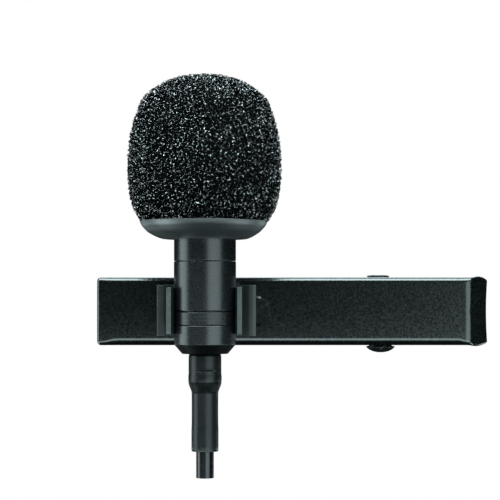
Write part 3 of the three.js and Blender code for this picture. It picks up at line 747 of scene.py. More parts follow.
def node_directions(points, edges, used, index):
    """The four neighbours of each used node, and unit directions spread evenly round it."""
    pairs = np.concatenate([edges, edges[:, ::-1]])
    pairs = pairs[index[pairs[:, 0]] >= 0]
    owner = index[pairs[:, 0]]
    order = np.argsort(owner, kind="stable")
    owner, pairs = owner[order], pairs[order]
    rank = np.arange(len(owner)) - np.searchsorted(owner, np.arange(len(used)))[owner]
    ok = rank < 4
    neighbours = np.full((len(used), 4), -1, np.int64)
    neighbours[owner[ok], rank[ok]] = pairs[ok, 1]
    directions = np.zeros((len(used), 4, 3))
    have = neighbours >= 0
    for i in range(4):
        found = have[:, i]
        directions[found, i] = unit(points[neighbours[found, i]] - points[used][found])
    # a node cut off from a neighbour gets the direction that balances the others
    for i in range(4):
        missing = ~have[:, i]
        balance = -directions[missing].sum(1)
        clear = np.linalg.norm(balance, axis=1, keepdims=True) > 0.2
        directions[missing, i] = np.where(clear, unit(balance), np.array([[0, 0, 1.0]]))
    for _ in range(3):
        directions = unit(directions - 0.8 * directions.mean(1, keepdims=True))
    return neighbours, directions


class FoamNodes:
    """Foam nodes as small tetrahedra, with one face towards each neighbour."""

    def __init__(self, centres, neighbours, directions, radii):
        self.centres, self.neighbours, self.directions = centres, neighbours, directions
        corners = centres[:, None] - radii[:, None, None] * directions
        self.corners = corners.reshape(-1, 3)

    def slots(self, nodes, others):
        """Which face looks at the other point, and whether there is one."""
        slots = np.argmax(self.neighbours[nodes] == others[:, None], axis=1)
        return slots, self.neighbours[nodes, slots] == others

    def rings(self, nodes, slots, axes):
        """Corner numbers of the nodes' faces, counter-clockwise about the axes."""
        ids = nodes[:, None] * 4 + FACE_CORNERS[slots]
        p = self.corners[ids]
        normals = np.cross(p[:, 1] - p[:, 0], p[:, 2] - p[:, 0])
        flip = np.einsum("ij,ij->i", normals, axes) < 0
        ids[flip] = ids[flip][:, [0, 2, 1]]
        return ids

    def matched(self, start_rings, end_rings, axes):
        """The end rings, rolled so that the struts twist least."""
        costs = []
        for k in range(3):
            gap = self.corners[np.roll(end_rings, -k, axis=1)] - self.corners[start_rings]
            gap -= np.einsum("ijk,ik->ij", gap, axes)[:, :, None] * axes[:, None]
            costs.append((gap ** 2).sum((1, 2)))
        roll = np.argmin(costs, axis=0)
        return np.take_along_axis(end_rings, (np.arange(3)[None] + roll[:, None]) % 3, axis=1)


def bridge(start, end):
    """Quads between two rings of three corners."""
    return [np.stack([start[:, i], start[:, j], end[:, j], end[:, i]], 1)
            for i, j in ((0, 1), (1, 2), (2, 0))]


def around_axis(points):
    """The angle round the axis, counted in sectors."""
    return (np.arctan2(points[:, 1], points[:, 0]) + math.pi) / (2 * math.pi) * SECTORS


def foam_uv(verts, sector):
    """UVs from the angle across the sector and the angle from the crown."""
    turn = around_axis(verts) - sector
    turn = np.where(turn > SECTORS / 2, turn - SECTORS, turn)
    polar = np.arctan2(np.hypot(verts[:, 0], verts[:, 1]), verts[:, 2] - 19.0) / math.pi
    return np.stack([(0.04 + 0.92 * turn).clip(0, 1), polar.clip(0, 1)], 1)


def build_foam(material):
    rng = np.random.default_rng(7)
    points, edges, struts, stubs, depth = foam_network(rng)
    used = np.unique(np.concatenate([struts.ravel(), stubs[:, 0]]))
    index = np.full(len(points), -1)
    index[used] = np.arange(len(used))
    neighbours, directions = node_directions(points, edges, used, index)
    centres = points[used]
    radii = STRUT_RADIUS * (1 + 0.18 * rng.standard_normal(len(used))).clip(0.6, 1.5)
    nodes = FoamNodes(centres, neighbours, directions, radii)

    # whole struts, from start to end
    start, end = index[struts[:, 0]], index[struts[:, 1]]
    start_slot, start_ok = nodes.slots(start, struts[:, 1])
    end_slot, end_ok = nodes.slots(end, struts[:, 0])
    ok = start_ok & end_ok
    start, end, start_slot, end_slot = start[ok], end[ok], start_slot[ok], end_slot[ok]
    axes = unit(centres[end] - centres[start])
    start_rings = nodes.rings(start, start_slot, axes)
    end_rings = nodes.matched(start_rings, nodes.rings(end, end_slot, axes), axes)

    # stubs: cut struts that end at the surface
    root = index[stubs[:, 0]]
    root_slot, ok = nodes.slots(root, stubs[:, 1])
    root, root_slot, outer = root[ok], root_slot[ok], stubs[ok, 1]
    root_depth, outer_depth = depth[used[root]], depth[outer]
    share = np.clip(root_depth / np.maximum(root_depth - outer_depth, 1e-6), 0.05, 0.95)
    share = share * rng.uniform(0.55, 1.0, len(root))
    along = points[outer] - centres[root]
    axes = unit(along)
    root_rings = nodes.rings(root, root_slot, axes)
    reach = np.maximum(np.linalg.norm(along, axis=1) * share, 0.05)
    base = nodes.corners[root_rings]
    root_centres = centres[root][:, None]
    axis_points = (root_centres + np.einsum("ijk,ik->ij", base - root_centres, axes)[:, :, None]
                   * axes[:, None])
    tips = root_centres + reach[:, None, None] * axes[:, None] + 0.72 * (base - axis_points)

    def sector_of(p):
        return around_axis(p).astype(int).clip(0, SECTORS - 1)

    strut_sector = sector_of((centres[start] + centres[end]) / 2)
    stub_sector = sector_of(centres[root])
    made = []
    for sector in range(SECTORS):
        whole, cut = strut_sector == sector, stub_sector == sector
        nodes_in = np.unique(np.concatenate([start[whole], end[whole], root[cut]]))
        taken = np.zeros((len(used), 4), bool)
        taken[start[whole], start_slot[whole]] = True
        taken[end[whole], end_slot[whole]] = True
        taken[root[cut], root_slot[cut]] = True
        corner_ids = (nodes_in[:, None] * 4 + np.arange(4)).ravel()
        remap = np.full(len(used) * 4, -1)
        remap[corner_ids] = np.arange(len(corner_ids))
        tip_verts = tips[cut].reshape(-1, 3)
        tip_rings = len(corner_ids) + np.arange(len(tip_verts)).reshape(-1, 3)
        quads = (bridge(remap[start_rings[whole]], remap[end_rings[whole]])
                 + bridge(remap[root_rings[cut]], tip_rings))
        # the tips, and the faces of nodes that no strut leaves from, are closed
        tris = [tip_rings]
        free = ~taken[nodes_in]
        for face in range(4):
            open_nodes = nodes_in[free[:, face]]
            if len(open_nodes):
                ids = nodes.rings(open_nodes, np.full(len(open_nodes), face),
                                  directions[open_nodes, face])
                tris.append(remap[ids])
        verts = np.concatenate([nodes.corners[corner_ids], tip_verts])
        made.append(quads_object("foam_cells_%d" % (sector + 1), verts + np.array(MIC_AT),
                                 np.concatenate(quads), np.concatenate(tris), material,
                                 uv=foam_uv(verts, sector)))
    return made


def core_shape(verts):
    """Pits and lumps, so that what shows between the struts isn't a smooth surface."""
    x, y, z = verts.T
    lump = (np.sin(x * 7.3 + 1.7 * np.sin(y * 3.1)) * np.sin(y * 6.9 + 1.3 * np.sin(z * 3.7))
            * np.sin(z * 7.7 + 1.9 * np.sin(x * 2.9)))
    r = np.hypot(x, y)
    scale = np.where(r > 5.0, 1 + 0.14 * lump / np.maximum(r, 1e-6), 1.0)
    return np.stack([x * scale, y * scale, z + np.where(z > 22, 0.14 * lump, 0)], 1)


def build_foam_core():
    """A solid that follows the foam's surface at CORE_DEPTH below it: the deeper foam, near-black
    as painted shade of the depths.
    """
    inner = []
    for i, (radius, z) in enumerate(FOAM_PROFILE):
        before = FOAM_PROFILE[max(0, i - 1)]
        after = FOAM_PROFILE[min(len(FOAM_PROFILE) - 1, i + 1)]
        tangent = np.array([after[0] - before[0], after[1] - before[1]])
        tangent /= np.linalg.norm(tangent)
        inner.append((max(0.0, radius - tangent[1] * CORE_DEPTH), z + tangent[0] * CORE_DEPTH))
    crown = inner[-1][1]
    inner[-1] = (0.0, crown)
    inner = [p for p in inner if p[1] > 11.3]
    foot = [(3.88, 10.9), (4.62, 10.9), (6.85, 10.95), (7.05, 11.1)]
    profile = foot + spline(inner, per=5)[:-1] + [(0.0, crown), (0.0, 14.6), (3.88, 14.6)]
    return lathe("foam_core", profile, FOAM_CORE_SHADE, segments=200, shape=core_shape)


foam = build_foam(FOAM_STRUT)
foam_core = build_foam_core()


# ------------------------------------------------------------------ pressed sheet parts
def rounded_outline(x0, x1, half, corner, xs, zs_left, zs_right=None, corner_right=None):
    """A rounded rectangle in X and Z, counter-clockwise from the lower left, with its outward
    normals. xs are the stations along the long sides, zs_left and zs_right along the ends."""
    steps = 6
    zs_right = zs_left if zs_right is None else zs_right
    corner_right = corner if corner_right is None else corner_right
    points, normals = [], []

    def side(side_points, normal):
        points.extend(side_points)
        normals.extend([normal] * len(side_points))

    def arc(x, z, start, radius):
        for k in range(steps + 1):
            angle = math.radians(start + 90 * k / steps)
            points.append((x + radius * math.cos(angle), z + radius * math.sin(angle)))
            normals.append((math.cos(angle), math.sin(angle)))

    along = [x for x in xs if x0 + corner < x < x1 - corner]
    side([(x, -half) for x in along], (0, -1))
    arc(x1 - corner_right, -half + corner_right, -90, corner_right)
    side([(x1, z) for z in zs_right if abs(z) < half - corner_right], (1, 0))
    arc(x1 - corner_right, half - corner_right, 0, corner_right)
    side([(x, half) for x in reversed(along)], (0, 1))
    arc(x0 + corner, half - corner, 90, corner)
    side([(x0, z) for z in reversed(zs_left) if abs(z) < half - corner], (-1, 0))
    arc(x0 + corner, -half + corner, 180, corner)
    return np.array(points), np.array(normals)


def sheet_rows(outline, normals, depth, fillet, x0, x1, half, edge=0.1):
    """Loops of a dished sheet with square walls, each outline point with its own wall depth
    and outer fillet. Rows of (x, z, h), where h is the depth behind the outer face, run from
    the outer face's spine to the inner one's. x0, x1 and half are the outline's limits, and
    edge rounds the walls' rims."""
    inner_fillet = 0.14
    fillet_steps = 7
    zero = np.zeros(len(outline))
    rows = []

    def inset(distance):
        """The outline moved inwards; past a corner's radius it meets in a mitre."""
        p = outline - normals * distance[:, None]
        return np.stack([np.clip(p[:, 0], x0 + distance, x1 - distance),
                         np.clip(p[:, 1], distance - half, half - distance)], 1)

    def add(distance, h):
        p = inset(distance + zero)
        rows.append(np.stack([p[:, 0], p[:, 1], h + zero], 1))

    def spread(rim, fractions, h):
        spine = np.stack([np.clip(rim[:, 0], x0 + half, x1 - half), zero], 1)
        for fraction in fractions:
            p = spine + (rim - spine) * fraction
            rows.append(np.stack([p[:, 0], p[:, 1], h + zero], 1))

    spread(inset(fillet), (0.0, 0.14, 0.3, 0.46, 0.62, 0.76, 0.87, 0.94, 0.975), 0.0)
    for k in range(fillet_steps + 1):
        a = math.pi / 2 * k / fillet_steps
        add(fillet * (1 - math.sin(a)), fillet * (1 - math.cos(a)))
    # the wall's outside, its rounded rim and its inside
    length = np.maximum(depth - fillet, 0.02)
    rim_depth = np.minimum(edge, 0.45 * length)
    end = fillet + length
    for t in (0.08, 0.5):
        add(0.0, fillet + (length - rim_depth) * t)
    add(0.0, end - 1.3 * rim_depth)
    quarter = [math.pi / 2 * k / 3 for k in range(4)]
    for a in quarter:
        add(edge * (1 - math.cos(a)), end - rim_depth + rim_depth * math.sin(a))
    add(SHEET / 2, end)
    for a in quarter:
        add(SHEET - edge + edge * math.sin(a), end - rim_depth + rim_depth * math.cos(a))
    gap = np.clip((end - rim_depth - SHEET) * 0.8, 0.005, inner_fillet)
    add(SHEET, np.maximum(SHEET + gap + 0.5 * (end - rim_depth - SHEET - gap), SHEET + gap))
    for k in range(4):
        w = k / 3
        add(SHEET + w * w * gap, SHEET + (1 - w) ** 2 * gap)
    spread(inset(SHEET + gap), (0.93, 0.7, 0.35, 0.0), SHEET)
    return rows


def sheet_object(name, rows, place, material):
    """A closed mesh from the loops; place(x, z, h) gives row-frame points."""
    count = len(rows[0])
    points = np.concatenate(rows)
    quads = []
    for row in range(len(rows) - 1):
        this = np.arange(count) + row * count
        beside = np.roll(np.arange(count), -1) + row * count
        quads.append(np.stack([this, this + count, beside + count, beside], 1))
    verts = place(points[:, 0], points[:, 1], points[:, 2])
    ob = quads_object(name, verts, np.concatenate(quads), material=material)
    weld(ob)
    return ob


def stations(start, end, step, extra=()):
    """Even stations with extra ones among them, none closer than 0.03."""
    count = max(2, int(round((end - start) / step)) + 1)
    values = sorted(list(np.linspace(start, end, count)) + list(extra))
    kept = [values[0]]
    for value in values[1:]:
        if value - kept[-1] > 0.03:
            kept.append(value)
    return kept


def fold(x, h, start, radius, angle):
    """Bends a flat strip from start on, about an axis at h = radius: x along the strip,
    h behind its outer face. The pressed shape's x and h come back."""
    s = x - start
    phi = np.clip(s / radius, 0, angle)
    over = np.maximum(s - radius * angle, 0)
    folded_x = start + (radius - h) * np.sin(phi) + over * math.cos(angle)
    folded_h = radius - (radius - h) * np.cos(phi) + over * math.sin(angle)
    return np.where(s > 0, folded_x, x), np.where(s > 0, folded_h, h)


EAR_X = list(PIN_X + np.concatenate([np.linspace(-1.64, 1.64, 23),
                                     [-3.05, -2.9, -1.75, 1.75, 2.9, 3.05]]))
WALL_END = 0.62         # wall depth where the walls die out into a flat thumb end

# front plate: a long dish with its thumb end folded back
PLATE_HALF = 4.17
PLATE_BEND, PLATE_BEND_R, PLATE_BEND_A = 31.77, 1.1, math.radians(53.1)
STRIP_END = PLATE_BEND + PLATE_BEND_R * PLATE_BEND_A + 3.58
# half heights of the thumb end's upper and lower edges, as (x, half height)
THUMB_UPPER = np.array([
    (31.9, 4.15), (32.4, 4.17), (32.75, 4.22), (33.1, 4.30), (33.4, 4.335), (33.83, 4.275),
    (34.2, 4.15), (34.65, 3.93), (35.5, 3.8)])
THUMB_LOWER = np.array([
    (31.9, 4.17), (32.3, 4.19), (32.7, 4.27), (33.1, 4.31), (33.5, 4.29), (34.0, 4.19),
    (34.65, 4.0), (35.5, 3.9)])
BOSS_X = 5.95
BOSS_PROFILE = [(0, -0.4), (1.93, -0.4), (1.93, -0.07), (1.60, 0.205), (0, 0.205)]


def plate_wall_back(x):
    """y of the plate's wall edge: straight, with a rounded hinge ear that flares into it."""
    base, flare = -3.9, 3.05
    shoulder, shoulder_back = 1.642, 0.44       # from the pin, where the round meets the flare
    dx = np.abs(x - PIN_X)
    ear_round = PIN_Y + np.sqrt(np.maximum(EAR_RADIUS ** 2 - dx ** 2, 0))
    slope = (PIN_Y + shoulder_back
             - (dx - shoulder) / (flare - shoulder) * (PIN_Y + shoulder_back - base))
    ear = np.where(dx < shoulder, ear_round, slope)
    return np.maximum(base, np.where(dx < flare, ear, base))


def place_plate(x, z, h):
    crown = 0.10 * (np.abs(z) / 3.57) ** 2 * np.clip(1 - h / 1.3, 0, 1)
    px, back = fold(x, h, PLATE_BEND, PLATE_BEND_R, PLATE_BEND_A)
    half = np.where(z > 0, np.interp(px, *THUMB_UPPER.T), np.interp(px, *THUMB_LOWER.T))
    widen = 1 + ease(px, 31.9, 32.4) * (half / PLATE_HALF - 1)
    # the free edge of the thumb end is slightly hollow
    px = px - 0.15 * (1 - (z / 4.0) ** 2).clip(0, 1) * ((px - 32.6) / 2.0).clip(0, 1)
    return np.stack([px, BAR_FRONT + back + crown, z * widen], 1)


def build_front_plate():
    xs = stations(BAR_LEFT, STRIP_END, 0.55, EAR_X + list(np.linspace(30.6, STRIP_END - 0.5, 26)))
    outline, normals = rounded_outline(BAR_LEFT, STRIP_END, PLATE_HALF, 0.5, xs,
                                       stations(-PLATE_HALF, PLATE_HALF, 0.42),
                                       corner_right=0.26)
    x, long_side = outline[:, 0], np.abs(normals[:, 1]) > 0.99
    fillet = 0.60 - 0.36 * ease(x, 31.6, 33.4)
    left_fillet = 0.5 + 0.1 * ease(x, BAR_LEFT + 0.5, BAR_LEFT + 1.6)
    fillet = np.where(x < BAR_LEFT + 1.6, left_fillet, fillet)
    # the lower long edge is rounder
    fillet = (fillet + 0.26 * np.clip(-normals[:, 1], 0, 1)
              * ease(x, BAR_LEFT + 0.8, BAR_LEFT + 2.6) * (1 - ease(x, 30.8, 31.9)))
    depth = np.where(long_side, plate_wall_back(x) - BAR_FRONT, 1.6)
    depth = np.where(x > 28, 1.6 - 0.98 * ease(x, 30.7, 32.2), depth)
    depth = np.where(x > 32.3, WALL_END, depth)
    rows = sheet_rows(outline, normals, depth, fillet, BAR_LEFT, STRIP_END, PLATE_HALF)
    plate = sheet_object("front_plate_pressed", rows, place_plate, PAINT)
    boss = lathe("boss", BOSS_PROFILE, PAINT, 96, at=(BOSS_X, BAR_FRONT, MIC_Z), axis="-Y")
    boolean(plate, boss, "UNION")
    drill(plate, at=(PIN_X, PIN_Y, 0), axis="Z", radius=0.85, length=12)

    # the boss's slanted rim gets duller copies of the paint on the right and above: painted shade
    # that darkens the right slope and dims the top's highlight
    def on_rim(p, n):
        return -0.95 < n.y < -0.4 and 5.9 < p.x < 8.0

    second_finish(plate, PAINT_RIM_SHADE,
                  lambda p, n: on_rim(p, n) and n.x > 0.26 and abs(p.z - MIC_Z) < 1.9)
    second_finish(plate, PAINT_RIM_DIMMED,
                  lambda p, n: on_rim(p, n) and n.z > 0.3 and n.x < 0.26 and p.z > MIC_Z)
    drill(plate, at=(MIC_X, BAR_FRONT, CRADLE_Z), axis="Y", radius=1.04, length=3)
    return smooth_by_angle(plate)


# rear jaw: a shallower dish with a toothed jaw end, hinge ears and a thumb lever folded away
# from the plate
JAW_LEFT, JAW_END, JAW_HALF = -12.3, 33.42, 3.4
LEVER_BEND, LEVER_R, LEVER_A = 23.6, 3.0, math.atan2(2.5, 9.2)
JAW_WALL = 1.5
TEETH = 6
TOOTH = 2 * JAW_HALF / TEETH
# stations across a tooth, from the valley below it
TOOTH_STATIONS = [0, 0.12, 0.28, 0.44, TOOTH / 2 - 0.05, TOOTH / 2 + 0.05,
                  TOOTH - 0.44, TOOTH - 0.28, TOOTH - 0.12]


def place_jaw(x, z, h):
    # the jaw's outer face looks backwards, and the bend's axis is behind it
    px, y = fold(x, -h, LEVER_BEND, LEVER_R, LEVER_A)
    # the lever narrows to rounded corners
    tip = ((px - 31.9) / 1.5).clip(0, 1)
    return np.stack([px, y, z * (1 - 0.16 * tip ** 2 * (np.abs(z) / JAW_HALF) ** 2)], 1)


def build_rear_jaw():
    xs = stations(JAW_LEFT, JAW_END, 0.6, EAR_X + list(np.linspace(22.6, 27.0, 12)))
    tooth_zs = [-JAW_HALF + i * TOOTH + z for i in range(TEETH) for z in TOOTH_STATIONS]
    outline, normals = rounded_outline(JAW_LEFT, JAW_END, JAW_HALF, 0.32, xs, tooth_zs,
                                       stations(-JAW_HALF, JAW_HALF, 0.4))
    x, z = outline[:, 0], outline[:, 1]
    long_side = np.abs(normals[:, 1]) > 0.99
    left, right = normals[:, 0] < -0.05, normals[:, 0] > 0.05
    fillet = np.where(left, 0.30, 0.35 - 0.15 * ease(x, 23.6, 25.4))
    dx = np.abs(x - PIN_X)
    ear = np.where(dx < EAR_RADIUS, -PIN_Y + np.sqrt(np.maximum(EAR_RADIUS ** 2 - dx ** 2, 0)),
                   np.interp(dx, [EAR_RADIUS, 2.1, 3.1], [2.7, 1.9, JAW_WALL]))
    depth = np.where(long_side, np.maximum(JAW_WALL, ear), JAW_WALL)
    lever_wall = np.interp(x, [23.2, 24.0, 25.4], [JAW_WALL, 1.2, WALL_END])
    depth = np.where(long_side & (x > 23.2), lever_wall, depth)
    depth = np.where(right, WALL_END, depth)
    valley = np.abs(((z + JAW_HALF) / TOOTH) % 1 - 0.5) * 2        # 1 in a valley, 0 on a crest
    depth = np.where(left, 4.75 - 0.7 * np.clip((valley - 0.10) / 0.85, 0, 1), depth)
    at_corner = left & (np.abs(z) > 3.08)
    corner_wall = JAW_WALL + (4.05 - JAW_WALL) * ease(np.abs(normals[:, 0]), 0.05, 0.6)
    depth = np.where(at_corner, corner_wall, depth)
    rows = sheet_rows(outline, normals, depth, fillet, JAW_LEFT, JAW_END, JAW_HALF, edge=0.12)
    jaw = sheet_object("rear_jaw_pressed", rows, place_jaw, PAINT)
    drill(jaw, at=(PIN_X, PIN_Y, 0), axis="Z", radius=0.88, length=12)
    return smooth_by_angle(jaw)


front_plate = build_front_plate()
rear_jaw = build_rear_jaw()


# ------------------------------------------------------------------ cradle
def arc_points(radius, start, end, count):
    """An arc about the microphone's axis, between angles in degrees."""
    angles = [math.radians(start + (end - start) * i / count) for i in range(count + 1)]
    return [(radius * math.cos(a), radius * math.sin(a)) for a in angles]


def mirror_outline(half):
    return half + [(-x, y) for x, y in reversed(half) if abs(x) > 1e-6]


def slab(name, outline, half, edge_radius, material, at):
    """An outline in X and Y pushed along Z, with its long edges rounded off."""
    steps = 4
    o = np.array(outline)
    o = o[np.linalg.norm(o - np.roll(o, 1, axis=0), axis=1) > 1e-4]
    area = 0.5 * np.sum(o[:, 0] * np.roll(o[:, 1], -1) - np.roll(o[:, 0], -1) * o[:, 1])
    if area < 0:
        o = o[::-1]
    before = o - np.roll(o, 1, axis=0)
    after = np.roll(o, -1, axis=0) - o
    before /= np.linalg.norm(before, axis=1, keepdims=True)
    after /= np.linalg.norm(after, axis=1, keepdims=True)
    before_normal = np.stack([-before[:, 1], before[:, 0]], 1)
    inward = before_normal + np.stack([-after[:, 1], after[:, 0]], 1)
    inward /= np.maximum((inward * before_normal).sum(1, keepdims=True), 0.35)
    count = len(o)
    rows = []

    def add(inset, z):
        rows.append(np.column_stack([o + inward * inset, np.full(count, z)]))

    quarter = [math.pi / 2 * k / steps for k in range(steps + 1)]
    for a in quarter:
        add(edge_radius * (1 - math.sin(a)), -half + edge_radius * (1 - math.cos(a)))
    add(0.0, -half + edge_radius * 1.5)
    add(0.0, half - edge_radius * 1.5)
    for a in quarter:
        add(edge_radius * (1 - math.cos(a)), half - edge_radius * (1 - math.sin(a)))
    faces = []
    for row in range(len(rows) - 1):
        for i in range(count):
            j = (i + 1) % count
            faces.append((row * count + i, row * count + j,
                          (row + 1) * count + j, (row + 1) * count + i))
    last = (len(rows) - 1) * count
    faces.append(tuple(range(count))[::-1])
    faces.append(tuple(range(last, last + count)))
    return polygon_object(name, np.concatenate(rows) + np.array(at), faces, material)


# outlines are (x, y) from the microphone's axis; each arm follows the barrel past its widest
# point, then flares away from it and ends in a plain cut
ARM_ROOT = [(0, 4.03), (3.24, 4.03), (3.24, 3.66)]
ARM_FLARE_OUT = [(4.36, -1.0), (4.39, -1.4), (4.44, -1.9), (4.50, -2.50)]
ARM_FLARE_IN = [(3.93, -2.50), (3.84, -2.1), (3.75, -1.75), (3.67, -1.45)]
WING_BACK = [(0, 4.1), (6.05, 4.1)]
WING_FRONT = [
    (6.05, 3.63), (5.96, 3.54), (5.6, 3.50), (5.2, 3.515), (4.95, 3.585), (4.6, 3.70),
    (4.2, 3.78), (2.6, 3.80)]
PAD_PROFILE = [(0, 3.95), (2.02, 3.95), (2.10, 4.05), (2.10, 4.30), (2.05, 4.35), (0, 4.35)]


def build_cradle():
    arm_half = (ARM_ROOT + arc_points(4.39, 50, -8, 16) + spline(ARM_FLARE_OUT, per=4)[1:]
                + spline(ARM_FLARE_IN, per=4) + arc_points(3.79, -17, 90, 34))
    arms = slab("mic_cradle_formed", corner_rounds(mirror_outline(arm_half[:-1]), radius=0.06),
                half=2.8, edge_radius=0.035, material=CRADLE, at=CRADLE_AT)
    wing_half = WING_BACK + spline(WING_FRONT, per=3) + arc_points(3.81, 62, 90, 8)
    wings = slab("wings", corner_rounds(mirror_outline(wing_half[:-1]), radius=0.10),
                 half=3.115, edge_radius=0.045, material=CRADLE, at=CRADLE_AT)
    pad = lathe("pad", PAD_PROFILE, CRADLE, segments=64, at=CRADLE_AT, axis="Y")
    boolean(arms, wings, "UNION")
    boolean(arms, pad, "UNION")
    # the rivet's hole, and a recess for its head
    drill(arms, at=(MIC_X, MIC_Y + 4.0, CRADLE_Z), axis="Y", radius=1.07, length=2.4)
    drill(arms, at=(MIC_X, MIC_Y + 3.99 - 0.75, CRADLE_Z), axis="Y", radius=1.7, length=1.5)
    bm = bmesh.new()
    bm.from_mesh(arms.data)
    bmesh.ops.remove_doubles(bm, verts=bm.verts, dist=0.002 * MM)
    bmesh.ops.dissolve_degenerate(bm, edges=bm.edges, dist=0.001 * MM)
    bm.to_mesh(arms.data)
    bm.free()
    smooth_by_angle(arms)
    # the arms' cut ends, which face forwards, get a paler finish
    second_finish(arms, CRADLE_CUT, lambda p, n: n.y < -0.6 and p.y < MIC_Y - 2.3)
    return arms


cradle = build_cradle()


# ------------------------------------------------------------------ pin, rivet, washer
def pin_shape(verts):
    """The peened heads sit a little off each other, as on a hand-set pin."""
    head = np.clip((np.abs(verts[:, 2]) - 4.15) / 0.1, 0, 1)
    return np.stack([verts[:, 0] - 0.035 * verts[:, 2] * head, verts[:, 1], verts[:, 2]], 1)


PIN_PROFILE = [
    (0.0, -5.10), (0.45, -5.08), (0.95, -4.97), (1.36, -4.79), (1.66, -4.56), (1.79, -4.42),
    (1.70, -4.33), (1.42, -4.27), (1.36, -4.19), (0.8, -4.17), (0.8, 4.19), (1.33, 4.19),
    (1.36, 4.28), (1.34, 4.36), (1.27, 4.43), (1.1, 4.455), (0.6, 4.46), (0.0, 4.462)]
RIVET_PROFILE = [
    (0, 3.765), (1.6, 3.765), (1.6, 3.965), (1.0, 3.965), (1.0, 5.36), (1.5, 5.36),
    (1.45, 5.62), (1.1, 5.82), (0, 5.88)]
WASHER_PROFILE = [(1.06, 5.02), (2.1, 5.02), (2.1, 5.33), (1.06, 5.33)]

pin = lathe("hinge_pin_turned", rounded(PIN_PROFILE, radius=0.03, steps=3), PIN_BLACK,
            segments=72, at=(PIN_X, PIN_Y, 0), shape=pin_shape)
rivet = lathe("cradle_rivet_set", rounded(RIVET_PROFILE, radius=0.05), PIN_BLACK,
              segments=64, at=CRADLE_AT, axis="Y")
washer = lathe("cradle_washer_stamped", rounded(WASHER_PROFILE, radius=0.06), ZINC,
               segments=64, at=CRADLE_AT, axis="Y")


# ------------------------------------------------------------------ torsion spring
def wire(name, points, radius, material, sides=14):
    """A round wire along points, with slightly rounded ends, swept without twist."""
    p = np.array(points, float)
    tangents = np.gradient(p, axis=0)
    tangents /= np.linalg.norm(tangents, axis=1, keepdims=True)
    side = np.cross(np.array([0, 0, 1.0]), tangents[0])
    side /= np.linalg.norm(side)
    frames = []
    for tangent in tangents:
        side = side - tangent * side.dot(tangent)
        side /= np.linalg.norm(side)
        frames.append((side.copy(), np.cross(tangent, side)))
    last = len(p) - 1
    # rings as (point, scale, shift along the wire)
    rings = ([(0, 0.6, -0.10), (0, 0.92, -0.05)] + [(i, 1.0, 0.0) for i in range(len(p))]
             + [(last, 0.92, 0.05), (last, 0.6, 0.10)])
    angles = np.arange(sides) * 2 * math.pi / sides
    verts = []
    for i, scale, shift in rings:
        side, up = frames[i]
        centre = p[i] + tangents[i] * shift
        verts.extend(centre + radius * scale * (side * math.cos(a) + up * math.sin(a))
                     for a in angles)
    faces = []
    for row in range(len(rings) - 1):
        this, after = row * sides, (row + 1) * sides
        for k in range(sides):
            m = (k + 1) % sides
            faces.append((this + k, this + m, after + m, after + k))
    end = (len(rings) - 1) * sides
    faces.append(tuple(reversed(range(sides))))
    faces.append(tuple(range(end, end + sides)))
    ob = polygon_object(name, verts, faces, material)
    weld(ob, 0.0005)
    return smooth_by_angle(ob, 45)


COIL_RADIUS, COIL_HALF, COIL_TURNS, COIL_STEPS = 1.8, 1.55, 5.5, 264
SPRING_LEG = 7.5        # how far both legs reach from the pin
WIRE_RADIUS = 0.25


def build_spring():
    """A leg behind the pin, the coils upwards round it, and a straight leg in front of it."""
    back_y = PIN_Y + COIL_RADIUS
    path = []
    for k in range(16):
        w = k / 16
        path.append((PIN_X + SPRING_LEG - 2.9 * w, back_y + 1.05 - 0.75 * w, -COIL_HALF))
    for k in range(10):
        w = k / 10
        path.append((PIN_X + 4.6 - 2.3 * w, back_y + 0.3 - 0.3 * w * (2 - w), -COIL_HALF))
    for k in range(8):
        path.append((PIN_X + 2.3 * (1 - k / 8), back_y, -COIL_HALF))
    for k in range(COIL_STEPS + 1):
        a = math.pi / 2 + COIL_TURNS * 2 * math.pi * k / COIL_STEPS
        path.append((PIN_X + COIL_RADIUS * math.cos(a), PIN_Y + COIL_RADIUS * math.sin(a),
                     -COIL_HALF + 2 * COIL_HALF * k / COIL_STEPS))
    for k in range(1, 25):
        path.append((PIN_X + SPRING_LEG * k / 24, PIN_Y - COIL_RADIUS, COIL_HALF))
    return wire("torsion_spring_wound", path, WIRE_RADIUS, SPRING)


spring = build_spring()

# ------------------------------------------------------------------ head grille
GRILLE_PROFILE = [(0, 13.76), (3.25, 13.76), (3.25, 14.0), (0, 14.0)]
GRILLE_PITCH, GRILLE_HOLE, GRILLE_FIELD = 0.62, 0.21, 2.35      # pitch, hole and field radii


def build_grille():
    """A disc under the head's rim, pierced in a triangular pattern."""
    disc = lathe("head_grille_pierced", rounded(GRILLE_PROFILE, radius=0.05), GRILLE, 96)
    holes = bmesh.new()
    for i, j in product(range(-5, 6), repeat=2):
        x = GRILLE_PITCH * (i + 0.5 * (j % 2))
        y = GRILLE_PITCH * math.sqrt(3) / 2 * j
        if math.hypot(x, y) < GRILLE_FIELD:
            where = ((MIC_X + x) * MM, (MIC_Y + y) * MM, (MIC_Z + 13.88) * MM)
            bmesh.ops.create_cone(holes, cap_ends=True, segments=20, radius1=GRILLE_HOLE * MM,
                                  radius2=GRILLE_HOLE * MM, depth=1.2 * MM,
                                  matrix=Matrix.Translation(where))
    mesh = bpy.data.meshes.new("holes")
    holes.to_mesh(mesh)
    holes.free()
    boolean(disc, add_mesh_object("holes", mesh, None))
    return smooth_by_angle(disc)


grille = build_grille()

# many-sided faces, some of them hollow in outline, are cut into triangles so that nothing
# reads them wrongly
for piece in (front_plate, rear_jaw, cradle, grille, spring):
    bm = bmesh.new()
    bm.from_mesh(piece.data)
    many_sided = [f for f in bm.faces if len(f.verts) > 4]
    bmesh.ops.triangulate(bm, faces=many_sided, ngon_method="BEAUTY")
    bm.to_mesh(piece.data)
    bm.free()

